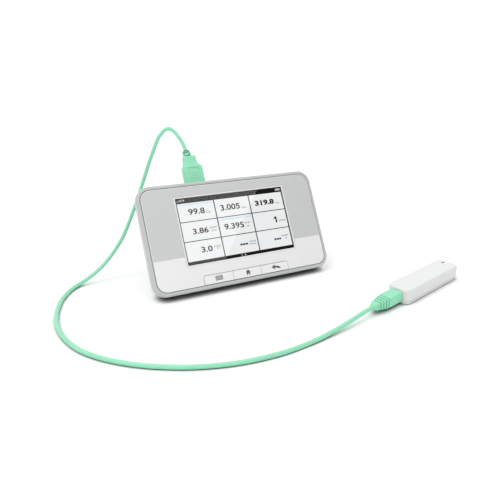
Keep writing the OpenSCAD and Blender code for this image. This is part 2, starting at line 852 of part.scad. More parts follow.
module probe_light_guide() {
    color(c_black) at_probe() translate([slot_x, slot_y, probe_h - probe_wall - 1.4])
        linear_extrude(probe_wall + 1.1) slot_outline();
}

module probe_board() {
    color(c_board) at_probe()
        block([3.4, -6, probe_z - mini_h / 2 - 1.6], [probe_l - 9, 6, probe_z - mini_h / 2 - 0.4]);
}

module probe_socket() {
    color(c_steel) at_probe() difference() {
        block([0.3, -mini_w / 2 - 0.4, probe_z - mini_h / 2 - 0.4],
            [8, mini_w / 2 + 0.4, probe_z + mini_h / 2 + 0.4]);
        block([-1, -mini_w / 2 - 0.1, probe_z - mini_h / 2 - 0.1],
            [7.4, mini_w / 2 + 0.1, probe_z + mini_h / 2 + 0.1]);
    }
}

module sensor_cell() {
    color(c_black) at_probe() translate([probe_l - 8.4, 0, probe_z]) rotate([0, 90, 0])
        cylinder(h = 6.2, r = 3);
}

module sensor_window() {
    color([0.3, 0.35, 0.4, 0.6]) at_probe() translate([probe_l - 1.8, 0, probe_z])
        rotate([0, 90, 0]) cylinder(h = 1.4, r = window_r);
}

module window_seal() {
    color(c_black) at_probe() translate([probe_l - 1.8, 0, probe_z]) rotate([0, 90, 0])
        difference() {
            cylinder(h = 1.6, r = window_r + 0.6);
            translate([0, 0, -1]) cylinder(h = 4, r = window_r);
        }
}

// ---------------------------------------------------------------- assembly

rear_housing();
front_frame();
front_panel();
grey_overlay();
window_trim();
touch_glass();
lcd_module();
lcd_gasket();
lcd_bracket();
lcd_screws();
main_board();
board_screws();
shield_can();
usb_socket();
usb_socket_tongue();
charge_socket();
key_board();
key_switches();
battery_pack();
buzzer();
housing_seal();
housing_screws();
base_pad();
hinge_pin();
stand_leg();
stand_foot();
menu_key();
menu_plunger();
home_key();
home_plunger();
back_key();
back_plunger();
usb_plug_body();
usb_plug_neck();
usb_plug_shell();
usb_plug_insert();
cord();
probe_plug_body();
probe_plug_boot();
probe_plug_shell();
probe_upper_shell();
probe_lower_shell();
probe_light_guide();
probe_board();
probe_socket();
sensor_cell();
sensor_window();
window_seal();
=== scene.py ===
"""Looks of the tabletop water quality reader, its cord and its probe stick.

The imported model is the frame, in metres. Pieces are drawn in millimetres and then
placed. Reader pieces are drawn upright, as (x, depth behind the face, height), and
READER leans them back; probe pieces lie along x, and PROBE turns them.
"""
import math

import bmesh
import bpy
from mathutils import Matrix, Vector


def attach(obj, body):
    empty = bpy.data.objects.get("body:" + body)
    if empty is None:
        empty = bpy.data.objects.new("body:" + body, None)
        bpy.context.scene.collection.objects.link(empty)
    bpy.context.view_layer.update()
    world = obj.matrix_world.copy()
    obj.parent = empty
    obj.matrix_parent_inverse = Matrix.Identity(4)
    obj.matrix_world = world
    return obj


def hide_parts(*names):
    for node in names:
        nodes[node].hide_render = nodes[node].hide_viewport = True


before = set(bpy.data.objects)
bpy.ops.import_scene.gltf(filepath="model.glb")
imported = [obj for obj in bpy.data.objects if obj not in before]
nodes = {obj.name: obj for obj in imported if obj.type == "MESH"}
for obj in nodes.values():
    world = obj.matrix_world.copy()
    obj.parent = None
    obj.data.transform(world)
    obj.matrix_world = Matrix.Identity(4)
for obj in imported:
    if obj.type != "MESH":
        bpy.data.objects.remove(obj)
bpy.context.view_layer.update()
MM = 0.001


# ---------------------------------------------------------------- camera

CAMERA_AT = (-0.1634, -0.3482, 0.1721)
CAMERA_TURN = 26.1
CAMERA_DOWN = 20.63
CAMERA_LENS = 36.36


def make_camera():
    data = bpy.data.cameras.new("camera")
    data.lens = CAMERA_LENS
    data.sensor_width = 36
    data.clip_start = 0.01
    data.clip_end = 20
    camera = bpy.data.objects.new("camera", data)
    camera.location = CAMERA_AT
    turn, down = math.radians(CAMERA_TURN), math.radians(CAMERA_DOWN)
    look = Vector((math.sin(turn) * math.cos(down), math.cos(turn) * math.cos(down),
                   -math.sin(down)))
    camera.rotation_mode = "QUATERNION"
    camera.rotation_quaternion = look.to_track_quat("-Z", "Y")
    bpy.context.scene.collection.objects.link(camera)
    bpy.context.scene.camera = camera


make_camera()


# ---------------------------------------------------------------- sizes, in millimetres

READER_W, READER_H, READER_T = 155, 86.4, 22
CORNER_R = 11
FRAME_D = 4
RIM_W, GROOVE_W = 2.7, 0.5
PANEL_T = 2.2
PANEL_W, PANEL_H = READER_W - 2 * (RIM_W + GROOVE_W), READER_H - 2 * (RIM_W + GROOVE_W)
PANEL_Z = RIM_W + GROOVE_W
PANEL_R = CORNER_R - RIM_W - GROOVE_W
MID_Z = READER_H / 2
LEAN = 29
FOOT_START = 10
STRIP_Y = FOOT_START + 4.5
FOOT_T = 0.6
CASE_X, CASE_Z = READER_W / 2 - 12.5, (13, READER_H - 16)

SCREEN_W, SCREEN_H, SCREEN_Z = 95, 53.8, 20.4
SCREEN_TOP = SCREEN_Z + SCREEN_H
TRIM_W = 1.2
POST_X, POST_IN = 56.5, 4.6
OVERLAY_Z = 27.6

KEY_W, KEY_H, KEY_GAP = 24.6, 7, 0.3
KEY_PITCH = KEY_W + KEY_GAP
KEY_Z0 = PANEL_Z + 0.15
KEY_MID_Z = KEY_Z0 + KEY_H / 2
KEY_CORNER = 1.5
KEY_T = 1.6
NOTCH_W = 3 * KEY_PITCH + KEY_GAP
NOTCH_TOP = KEY_Z0 + KEY_H + KEY_GAP

LEG_W, LEG_T = 50, 3.4
HINGE_Y, HINGE_Z = READER_T - 2.4, 64
STAND_OPEN = 49
BARREL_R = 2
HEEL = 1.75
LEG_FOOT_R = 2.2
POCKET_W, POCKET_Y = LEG_W + 3, HINGE_Y - 2.5
POCKET_TOP = HINGE_Z + 3.2

SOCKET_X, SOCKET_Y, SOCKET_W, SOCKET_T = -25, 9.5, 13.2, 5.8
CHARGE_X, CHARGE_Y, CHARGE_W, CHARGE_H = 24, 10.9, 8, 3
PLUG_Z = READER_H + 0.5
GRIP_W, GRIP_T, GRIP_L = 16.6, 8.4, 15
SHOULDER_L, TAPER_L, NECK_L = 2.4, 6.2, 4.9
TAIL_X, NECK_X, NECK_LEAN = -0.7, -1.5, 8
NECK_Z = PLUG_Z + GRIP_L + SHOULDER_L + TAPER_L

PROBE_AT, PROBE_YAW = (88, -87, 0), 16
PROBE_L, PROBE_W, PROBE_H, PROBE_R = 78, 19, 12, 5
PROBE_WALL = 1.4
SEAM_Z, SEAM_GAP, SEAM_BEVEL = 2.4, 0.15, 0.22
SLOT_L, SLOT_W, SLOT_FROM_END, SLOT_Y = 4.6, 1.3, 5.7, 2.5
EYE_R = 4.2
BOOT_L = 14.7
PROBE_GRIP_W, PROBE_GRIP_H, PROBE_GRIP_L = 10, 8.6, 16.5
BOOT_START = -0.3 - PROBE_GRIP_L
BOOT_END = BOOT_START - BOOT_L

CORD_D = 3.1


def turned(degrees, axis):
    return Matrix.Rotation(math.radians(degrees), 4, axis)


lean_sin, lean_cos = math.sin(math.radians(LEAN)), math.cos(math.radians(LEAN))
strip_z = (STRIP_Y - FOOT_START) * math.tan(math.radians(LEAN))
READER = (Matrix.Translation((0, -(STRIP_Y * lean_cos + strip_z * lean_sin),
                              FOOT_START * lean_sin + FOOT_T)) @ turned(-LEAN, "X"))
hinge_up = (READER @ Vector((0, HINGE_Y, HINGE_Z))).z
LEG_L = (hinge_up - LEG_FOOT_R) / math.cos(math.radians(STAND_OPEN - LEAN))
POCKET_BOTTOM = HINGE_Z - LEG_L - LEG_FOOT_R - 0.5
STAND = READER @ Matrix.Translation((0, HINGE_Y, HINGE_Z)) @ turned(STAND_OPEN, "X")
PROBE = Matrix.Translation(PROBE_AT) @ turned(PROBE_YAW, "Z")
PLUG = READER @ Matrix.Translation((SOCKET_X, SOCKET_Y, 0))


# ---------------------------------------------------------------- cord route

NECK = PLUG @ Matrix.Translation((NECK_X, 0, NECK_Z)) @ turned(-NECK_LEAN, "Y")
PLUG_EXIT = NECK @ Vector((0, 0, NECK_L))
BOOT_EXIT = PROBE @ Vector((BOOT_END, 0, PROBE_H / 2))
CORD_LEAVES = [(0, 0, 0), (-0.7, 3, 4.9), (-2.4, 6.3, 9.4), (-4.7, 9.2, 13.5),
               (-7.2, 11, 16.2), (-9.9, 12.2, 17.3), (-12.8, 13.1, 16.3), (-16, 13.8, 13)]
CORD_RUN = [
    (-46, 64.8, 110.6), (-53.6, 65, 94.2), (-62, 64.6, 74), (-67, 63.4, 62.6),
    (-72.7, 62, 51), (-78.4, 60, 40.6), (-84.3, 58, 31.2), (-92.4, 56, 21.6),
    (-100.4, 54, 14), (-108.5, 52, 8.4), (-116.4, 50, 4.4), (-124.6, 46.6, 2),
    (-132, 39, 1.6), (-139, 26.5, 1.6), (-144, 11.5, 1.6), (-147, -4, 1.6),
    (-147.5, -20, 1.6), (-145, -37, 1.6), (-139, -54, 1.6), (-129, -69, 1.6),
    (-115, -83, 1.6), (-98, -95, 1.6), (-77.5, -105, 1.6), (-54, -111.5, 1.6),
    (-28, -113.5, 1.6), (-4, -110.8, 1.6), (14, -107.2, 2.4)]
CORD_ENTERS = [(-27.7, -7.9, -2.1), (-14.7, -4.3, -0.8), (-6.7, -2, -0.1), (0, 0, 0)]
CORD_POINTS = ([PLUG_EXIT + Vector(p) for p in CORD_LEAVES] + [Vector(p) for p in CORD_RUN]
               + [BOOT_EXIT + Vector(p) for p in CORD_ENTERS])
CORD_STEPS = 6


def smooth_path(points, steps):
    """The same smooth curve through the points as the CAD cord follows."""
    path = []
    for i in range(len(points) - 1):
        p0, p1, p2 = points[max(i - 1, 0)], points[i], points[i + 1]
        p3 = points[min(i + 2, len(points) - 1)]
        for s in range(steps):
            u = s / steps
            path.append(0.5 * (2 * p1 + (p2 - p0) * u
                               + (2 * p0 - 5 * p1 + 4 * p2 - p3) * u * u
                               + (3 * p1 - p0 - 3 * p2 + p3) * u * u * u))
    return path + [points[-1]]


# ---------------------------------------------------------------- materials

def linear(red, green, blue):
    """A screen colour, 0 to 255, as the linear colour that a shader takes."""
    return tuple(((c / 255 + 0.055) / 1.055) ** 2.4 if c > 10 else c / 255 / 12.92
                 for c in (red, green, blue)) + (1,)


class Recipe:
    """One material under construction: a Principled shader and the nodes behind it."""

    def __init__(self, name, colour, rough):
        self.mat = bpy.data.materials.new(name)
        self.mat.use_nodes = True
        self.tree = self.mat.node_tree
        self.shader = self.tree.nodes["Principled BSDF"]
        self.shader.inputs["Base Color"].default_value = colour
        self.shader.inputs["Roughness"].default_value = rough
        self.place = self.add("ShaderNodeTexCoord").outputs["Object"]
        self.mat.diffuse_color = colour

    def add(self, kind, **values):
        node = self.tree.nodes.new(kind)
        for key, value in values.items():
            setattr(node, key, value)
        return node

    def link(self, out, into):
        self.tree.links.new(out, into)

    def noise(self, size_mm, detail=2.0, stretch=None):
        """Noise whose lumps are about size_mm across."""
        node = self.add("ShaderNodeTexNoise")
        node.inputs["Scale"].default_value = 1 / (size_mm * MM)
        node.inputs["Detail"].default_value = detail
        where = self.place
        if stretch:
            mapping = self.add("ShaderNodeMapping")
            mapping.inputs["Scale"].default_value = stretch
            self.link(self.place, mapping.inputs["Vector"])
            where = mapping.outputs["Vector"]
        self.link(where, node.inputs["Vector"])
        return node.outputs["Fac"]

    def spread(self, source, low, high):
        """Maps a noise, which stays near one half, onto low to high."""
        node = self.add("ShaderNodeMapRange")
        node.inputs["From Min"].default_value = 0.3
        node.inputs["From Max"].default_value = 0.7
        node.inputs["To Min"].default_value = low
        node.inputs["To Max"].default_value = high
        self.link(source, node.inputs["Value"])
        return node.outputs["Result"]

    def mix(self, factor, first, second):
        node = self.add("ShaderNodeMix", data_type="RGBA")
        self.link(factor, node.inputs["Factor"])
        node.inputs[6].default_value = first
        node.inputs[7].default_value = second
        return node.outputs[2]

    def tint(self, size_mm, colour, other):
        """Lets the colour drift between two near shades."""
        fac = self.spread(self.noise(size_mm), 0.0, 1.0)
        self.link(self.mix(fac, colour, other), self.shader.inputs["Base Color"])
        return self

    def polish(self, size_mm, low, high, stretch=None):
        """Lets the roughness drift between low and high."""
        self.link(self.spread(self.noise(size_mm, 3.0, stretch), low, high),
                  self.shader.inputs["Roughness"])
        return self

    def grain(self, size_mm, height_mm, stretch=None):
        """Raises a fine grain on the surface."""
        bump = self.add("ShaderNodeBump")
        bump.inputs["Strength"].default_value = 1.0
        bump.inputs["Distance"].default_value = height_mm * MM
        self.link(self.noise(size_mm, stretch=stretch), bump.inputs["Height"])
        self.link(bump.outputs["Normal"], self.shader.inputs["Normal"])
        return self

    def set(self, **sockets):
        for key, value in sockets.items():
            self.shader.inputs[key.replace("_", " ")].default_value = value
        return self


def shade(colour, factor):
    return tuple(c * factor for c in colour[:3]) + (1,)


def plastic(name, colour, rough, grain_mm=0.35, height_mm=0.004, drift=0.97):
    """Moulded plastic: a fine spark-eroded grain, with slow drifts of colour and gloss."""
    recipe = Recipe(name, colour, rough)
    recipe.tint(18, colour, shade(colour, drift)).polish(7, rough - 0.05, rough + 0.06)
    return recipe.grain(grain_mm, height_mm)


WHITE = linear(228, 228, 228)
KEY_WHITE = linear(231, 231, 231)
PROBE_WHITE = linear(220, 221, 221)
OVERLAY_GREY = linear(195, 197, 196)
RIM_GREY = linear(188, 190, 190)
SHELL_GREY = linear(200, 202, 202)
MINT = linear(143, 221, 183)
# Painted shade: the plug cores are coloured dark green so that the gaps between their rings and
# ribs look shaded.
PAINTED_GAP_SHADE = linear(34, 112, 78)

mats = {}


def make_materials():
    m = mats
    m["housing"] = plastic("housing_plastic", SHELL_GREY, 0.46).mat
    m["frame"] = plastic("frame_plastic", RIM_GREY, 0.38, 0.3, 0.002).mat
    m["panel"] = plastic("panel_plastic", WHITE, 0.36, 0.5, 0.0012, 0.985).set(
        Coat_Weight=0.15, Coat_Roughness=0.25).mat
    m["overlay"] = plastic("overlay_film", OVERLAY_GREY, 0.34, 0.22, 0.0015, 0.985).mat
    m["key"] = plastic("key_plastic", KEY_WHITE, 0.38, 0.4, 0.0015, 0.985).mat
    m["ink"] = plastic("printed_ink", linear(88, 90, 92), 0.5, 0.15, 0.002).mat
    m["probe"] = plastic("probe_plastic", PROBE_WHITE, 0.42, 0.3, 0.003, 0.985).mat
    m["grip"] = plastic("green_grip", MINT, 0.42, 0.4, 0.005, 0.95).set(
        Subsurface_Weight=0.12, Subsurface_Radius=(0.002, 0.003, 0.002),
        Subsurface_Scale=1.0).mat
    m["cord"] = plastic("green_cord", MINT, 0.36, 0.6, 0.006, 0.95).set(
        Coat_Weight=0.2, Coat_Roughness=0.3).mat
    # The cores' dark green is painted shade for the gaps between rings and ribs.
    m["painted_gap_shade"] = plastic("dark_green_rubber", PAINTED_GAP_SHADE, 0.6, 0.4, 0.008, 0.85).mat
    m["rubber"] = plastic("black_rubber", linear(34, 34, 35), 0.72, 0.5, 0.01, 0.8).set(
        Sheen_Weight=0.15, Sheen_Roughness=0.5).mat
    m["black"] = plastic("black_plastic", linear(26, 26, 28), 0.4, 0.3, 0.003, 0.8).mat
    m["insert"] = plastic("insert_plastic", linear(236, 236, 230), 0.4, 0.3, 0.002).mat
    m["battery"] = plastic("battery_wrap", linear(66, 70, 78), 0.35, 1.2, 0.01, 0.8).mat
    m["steel"] = Recipe("bright_steel", linear(196, 197, 200), 0.28).set(Metallic=1.0).polish(
        1.5, 0.2, 0.36, (1, 1, 0.15)).grain(0.25, 0.002, (1, 1, 0.1)).mat
    m["board"] = Recipe("circuit_board", linear(24, 92, 60), 0.4).tint(
        1.2, linear(24, 92, 60), linear(34, 112, 72)).grain(0.8, 0.02).set(
        Coat_Weight=0.5, Coat_Roughness=0.2).mat
    m["glass"] = Recipe("screen_glass", (1, 1, 1, 1), 0.02).set(
        Transmission_Weight=1.0, IOR=1.46).polish(30, 0.004, 0.012).mat


def glowing(name, colour, strength):
    """A lit part of the display: it gives its colour off and hardly reflects."""
    recipe = Recipe(name, shade(colour, 0.1), 0.6)
    fac = recipe.spread(recipe.noise(0.35, 1.0), 0.0, 1.0)
    recipe.link(recipe.mix(fac, shade(colour, 0.985), colour),
                recipe.shader.inputs["Emission Color"])
    return recipe.set(Emission_Strength=strength, Specular_IOR_Level=0.0).mat


make_materials()
mats["lit_white"] = glowing("display_white", linear(240, 241, 242), 0.97)
mats["lit_blue"] = glowing("display_blue", linear(205, 230, 241), 0.95)
mats["lit_black"] = glowing("display_black", linear(18, 18, 20), 0.6)
mats["lit_digit"] = glowing("display_digit", linear(40, 40, 42), 0.6)
mats["lit_unit"] = glowing("display_unit", linear(172, 173, 176), 0.92)
mats["lit_mark"] = glowing("display_mark", linear(205, 206, 208), 0.9)

NODE_LOOK = {
    "housing": ["rear_housing", "stand_leg"],
    "frame": ["front_frame"],
    "panel": ["front_panel", "window_trim"],
    "overlay": ["grey_overlay"],
    "glass": ["touch_glass", "sensor_window"],
    "steel": ["lcd_module", "lcd_bracket", "lcd_screws", "board_screws", "shield_can",
              "usb_socket", "charge_socket", "key_switches", "housing_screws", "hinge_pin",
              "usb_plug_shell", "probe_plug_shell", "probe_socket"],
    "rubber": ["lcd_gasket", "housing_seal", "base_pad", "stand_foot", "window_seal"],
    "board": ["main_board", "key_board", "probe_board"],
    "insert": ["usb_socket_tongue", "usb_plug_insert"],
    "battery": ["battery_pack"],
    "black": ["buzzer", "menu_plunger", "home_plunger", "back_plunger", "probe_light_guide",
              "sensor_cell"],
    "key": ["menu_key", "home_key", "back_key"],
    "grip": ["usb_plug_body", "probe_plug_body", "probe_plug_boot"],
    "painted_gap_shade": ["usb_plug_neck"],
    "cord": ["cord"],
    "probe": ["probe_upper_shell", "probe_lower_shell"],
}
for look, names in NODE_LOOK.items():
    for name in names:
        nodes[name].data.materials.clear()
        nodes[name].data.materials.append(mats[look])


# ---------------------------------------------------------------- mesh helpers

ARC_STEPS = 8


def rounded(w, h, radii, cx=0.0, cz=0.0, steps=ARC_STEPS):
    """Outline of a rounded rectangle, anticlockwise from its right side. radii is one
    number, or four for the upper right, upper left, lower left and lower right."""
    if not hasattr(radii, "__len__"):
        radii = [radii] * 4
    points = []
    for quarter, (sx, sz) in enumerate([(1, 1), (-1, 1), (-1, -1), (1, -1)]):
        r = max(radii[quarter], 0.001)
        for i in range(steps + 1):
            a = math.radians(90 * quarter + 90 * i / steps)
            points.append((cx + sx * (w / 2 - r) + r * math.cos(a),
                           cz + sz * (h / 2 - r) + r * math.sin(a)))
    return points


def inset(outline, k):
    """The outline moved inwards by k, corner by corner."""
    n = len(outline)
    moved = []
    for i in range(n):
        a, b, c = (Vector(outline[j % n]) for j in (i - 1, i, i + 1))
        one, two = (b - a), (c - b)
        one = one.normalized() if one.length > 1e-9 else two.normalized()
        two = two.normalized() if two.length > 1e-9 else one
        n1, n2 = Vector((-one.y, one.x)), Vector((-two.y, two.x))
        across = n1 + n2
        across = across.normalized() if across.length > 1e-6 else n1
        moved.append(tuple(b + across * (k / max(across.dot(n1), 0.3))))
    return moved


def at_depth(outline, depth):
    """A face outline at that depth in the reader."""
    return [(x, depth, z) for x, z in outline]


def at_height(outline, z):
    return [(x, y, z) for x, y in outline]


def fillet(radius, steps=4):
    """(inset, distance from the end) pairs from a wall round onto its end face."""
    return [(radius * (1 - math.cos(math.radians(90 * i / steps))),
             radius * (1 - math.sin(math.radians(90 * i / steps))))
            for i in range(steps + 1)]


def skin(bm, rings, wrap=False):
    """Quads between rings of points of one length. Returns the rings of vertices."""
    made = [[bm.verts.new(p) for p in ring] for ring in rings]
    pairs = list(zip(made, made[1:])) + ([(made[-1], made[0])] if wrap else [])
    for lower, upper in pairs:
        n = len(lower)
        for i in range(n):
            bm.faces.new((lower[i], lower[(i + 1) % n], upper[(i + 1) % n], upper[i]))
    return made


def fill(bm, *loops):
    """A flat face inside the first loop and outside the others."""
    if len(loops) == 1:
        bm.faces.new(loops[0])
        return
    edges = []
    for loop in loops:
        for i, v in enumerate(loop):
            w = loop[(i + 1) % len(loop)]
            edges.append(bm.edges.get((v, w)) or bm.edges.new((v, w)))
    bmesh.ops.triangle_fill(bm, use_beauty=True, use_dissolve=False, edges=edges)


def tidy(bm):
    bmesh.ops.remove_doubles(bm, verts=bm.verts, dist=1e-5)
    bmesh.ops.recalc_face_normals(bm, faces=bm.faces)


def to_object(bm, name, place):
    """A new object from the mesh, which is in millimetres, put in its place."""
    tidy(bm)
    mesh = bpy.data.meshes.new(name)
    bm.to_mesh(mesh)
    bm.free()
    mesh.transform(Matrix.Scale(MM, 4) @ place)
    obj = bpy.data.objects.new(name, mesh)
    bpy.context.scene.collection.objects.link(obj)
    return obj


SHARP_ANGLE = math.radians(32)


def finish_piece(obj, body, look, replaced=(), weighted=True):
    """Gives the piece its smooth shading, material and body."""
    mesh = obj.data
    mesh.materials.clear()
    mesh.materials.append(mats[look])
    mesh.shade_smooth()
    mesh.set_sharp_from_angle(angle=SHARP_ANGLE)
    if weighted:
        normals = obj.modifiers.new("even_normals", "WEIGHTED_NORMAL")
        normals.keep_sharp = True
    if replaced:
        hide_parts(*replaced)
    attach(obj, body)


def cut(obj, cutter, operation="DIFFERENCE"):
    """Applies a boolean with the cutter, and removes the cutter."""
    step = obj.modifiers.new("cut", "BOOLEAN")
    step.operation = operation
    step.solver = "EXACT"
    step.object = cutter
    graph = bpy.context.evaluated_depsgraph_get()
    done = bpy.data.meshes.new_from_object(obj.evaluated_get(graph))
    obj.modifiers.remove(step)
    old = obj.data
    obj.data = done
    done.name = obj.name
    bpy.data.meshes.remove(old)
    bpy.data.objects.remove(cutter)


def prism(name, outline, start, end, place, turn=at_depth, edge=0.0):
    """A solid between two depths or heights, with its end rounded by edge."""
    bm = bmesh.new()
    sign = 1 if end > start else -1
    rings = [turn(outline, start)]
    if edge:
        rings += [turn(inset(outline, k), end - sign * away) for k, away in fillet(edge)]
    else:
        rings.append(turn(outline, end))
    made = skin(bm, rings)
    fill(bm, made[0])
    fill(bm, made[-1])
    return to_object(bm, name, place)


def plate(name, outer, holes, front, back, edge, place):
    """A plate across the reader with rounded front edges, with holes right through."""
    bm = bmesh.new()
    fronts, backs = [], []
    for loop, side in [(outer, 1)] + [(hole, -1) for hole in holes]:
        rings = [at_depth(loop, back)]
        rings += [at_depth(inset(loop, side * k), front + away) for k, away in fillet(edge)]
        made = skin(bm, rings)
        backs.append(made[0])
        fronts.append(made[-1])
    fill(bm, *fronts)
    fill(bm, *backs)
    return to_object(bm, name, place)


def rod(name, r, start, end, place, axis="Y", at=(0, 0, 0), sides=40):
    """A plain round cutter or post along the x or y axis."""
    bm = bmesh.new()
    ring = [(r * math.cos(2 * math.pi * i / sides), r * math.sin(2 * math.pi * i / sides))
            for i in range(sides)]
    aim = {"X": lambda u, v, w: (w, u, v), "Y": lambda u, v, w: (u, w, v)}[axis]
    made = skin(bm, [[tuple(Vector(aim(u, v, w)) + Vector(at)) for u, v in ring]
                     for w in (start, end)])
    fill(bm, made[0])
    fill(bm, made[1])
    return to_object(bm, name, place)


def lathe(bm, profile, sides=40):
    """Turns (height, radius) pairs about the z axis."""
    rings = [[(r * math.cos(2 * math.pi * i / sides), r * math.sin(2 * math.pi * i / sides), z)
              for i in range(sides)] for z, r in profile]
    made = skin(bm, rings)
    fill(bm, made[0])
    fill(bm, made[-1])


def box_outline(x0, z0, x1, z1):
    return rounded(x1 - x0, z1 - z0, 0.02, (x0 + x1) / 2, (z0 + z1) / 2, steps=1)


# ---------------------------------------------------------------- cord

def make_cord():
    points = smooth_path([Vector(p) * MM for p in CORD_POINTS], CORD_STEPS)
    curve = bpy.data.curves.new("cord_jacket", "CURVE")
    curve.dimensions = "3D"
    curve.bevel_depth = CORD_D / 2 * MM
    curve.bevel_resolution = 6
    curve.use_fill_caps = True
    spline = curve.splines.new("POLY")
    spline.points.add(len(points) - 1)
    for point, at in zip(spline.points, points):
        point.co = (*at, 1)
    spline.use_smooth = True
    cord = bpy.data.objects.new("cord_jacket", curve)
    bpy.context.scene.collection.objects.link(cord)
    curve.materials.append(mats["cord"])
    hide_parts("cord")
    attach(cord, "cable")
    return cord


def along_probe(outline, x):
    """An outline (across, up) square to the probe's axis."""
    return [(x, y, z) for y, z in outline]


def loft(name, rings, place):
    bm = bmesh.new()
    made = skin(bm, rings)
    fill(bm, made[0])
    fill(bm, made[-1])
    return to_object(bm, name, place)


def make_probe_plug():
    """The probe's plug: a rounded body, and a strain relief of ribs down to the cord."""
    mid = PROBE_H / 2
    w, h, r = PROBE_GRIP_W, PROBE_GRIP_H, 1.4
    ends = fillet(0.5)
    rings = [along_probe(rounded(w - 2 * k, h - 2 * k, r - k * 0.6, 0, mid),
                         BOOT_START + away) for k, away in reversed(ends)]
    rings += [along_probe(rounded(w - 2 * k, h - 2 * k, r - k * 0.6, 0, mid),
                          -0.3 - away) for k, away in ends]
    body = loft("probe_plug_grip", rings, PROBE)
    finish_piece(body, "cable", "grip", ["probe_plug_body"])

    ribs, pitch, gap = 4, 2.8, 0.9
    narrower, lower = 0.85, 0.75
    bm = bmesh.new()

    def solid(slices):
        made = skin(bm, [along_probe(rounded(w, h, min(r, h / 2 - 0.01), 0, mid), x)
                         for x, w, h, r in slices])
        fill(bm, made[0])
        fill(bm, made[-1])

    for i in range(ribs):
        start = BOOT_START - i * pitch - gap
        end = BOOT_START - (i + 1) * pitch
        rw, rh = w - 0.3 - narrower * i, h - 0.3 - lower * i
        solid([(start, rw - 0.5, rh - 0.5, 1.3), (start - 0.22, rw, rh, 1.5),
               (end + 0.3, rw - 0.15, rh - 0.15, 1.5), (end, rw - 0.7, rh - 0.7, 1.4)])
    nose = BOOT_START - ribs * pitch
    solid([(nose + 0.4, 6.2, 5.8, 2.2), (nose - 0.5, 6.3, 5.9, 2.3), (nose - 1.3, 6.1, 5.7, 2.4),
           (nose - 2.2, 5.3, 5.1, 2.4), (nose - 2.9, 4.5, 4.4, 2.1),
           (BOOT_END + 0.25, 3.9, 3.9, 1.9), (BOOT_END, 3.4, 3.4, 1.7)])
    boot = to_object(bm, "probe_plug_relief", PROBE)
    finish_piece(boot, "cable", "grip", ["probe_plug_boot"])

    # The core is coloured dark: painted shade in the gaps between the ribs.
    core = loft("probe_plug_relief_core",
                [along_probe(rounded(w * 0.66 - k, h * 0.66 - k, 1.4, 0, mid), x)
                 for x, k in ((BOOT_START + 0.3, 0), (nose, 1.6))], PROBE)
    finish_piece(core, "cable", "painted_gap_shade")
    return body, boot, core


cord = make_cord()
probe_plug_parts = make_probe_plug()


# ---------------------------------------------------------------- reader's plug

def make_reader_plug():
    """The reader's plug: grip with a sunk panel, sloping shoulder and a slim waist."""
    top = PLUG_Z + GRIP_L
    waist_z, waist_w, waist_t = top + SHOULDER_L, 11.6, 7.0
    grip = [(PLUG_Z, GRIP_W - 0.9, GRIP_T - 0.9, 0),
            (PLUG_Z + 0.15, GRIP_W - 0.4, GRIP_T - 0.4, 0),
            (PLUG_Z + 0.5, GRIP_W, GRIP_T, 0), (top - 1.4, GRIP_W, GRIP_T, 0),
            (top - 0.7, GRIP_W - 0.3, GRIP_T - 0.1, 0),
            (top - 0.1, GRIP_W - 1.2, GRIP_T - 0.3, 0.1)]
    shoulder = [(top + 0.5, GRIP_W - 2.6, GRIP_T - 0.7, 0.3),
                (waist_z - 0.8, waist_w + 1, waist_t + 0.3, 0.8),
                (waist_z, waist_w, waist_t, 1), (waist_z + 0.8, waist_w - 0.3, waist_t - 0.1, 1)]
    tail = [(NECK_Z - 0.9, 10.7, 6.7, 1), (NECK_Z - 0.4, 10.5, 6.5, 1),
            (NECK_Z - 0.1, 10.0, 6.1, 1), (NECK_Z, 9.4, 5.6, 1)]
    plug = loft("reader_plug_grip", [at_height(rounded(w, t, 2.0, TAIL_X * shift), z)
                                     for z, w, t, shift in grip + shoulder + tail], PLUG)
    front = -GRIP_T / 2
    panel = prism("panel_cut", rounded(9.2, 11, 1.0, 0, PLUG_Z + 7.9), front - 2, front + 0.5,
                  PLUG, edge=0.12)
    cut(plug, panel)
    finish_piece(plug, "cable", "grip", ["usb_plug_body"])

    for i in range(3):
        z = PLUG_Z + 4.4 + 2.1 * i
        ridge = prism("reader_plug_ridge_%d" % (i + 1), rounded(4.6, 0.8, 0.39, 0.4, z),
                      front + 0.7, front + 0.24, PLUG, edge=0.12)
        finish_piece(ridge, "cable", "grip")


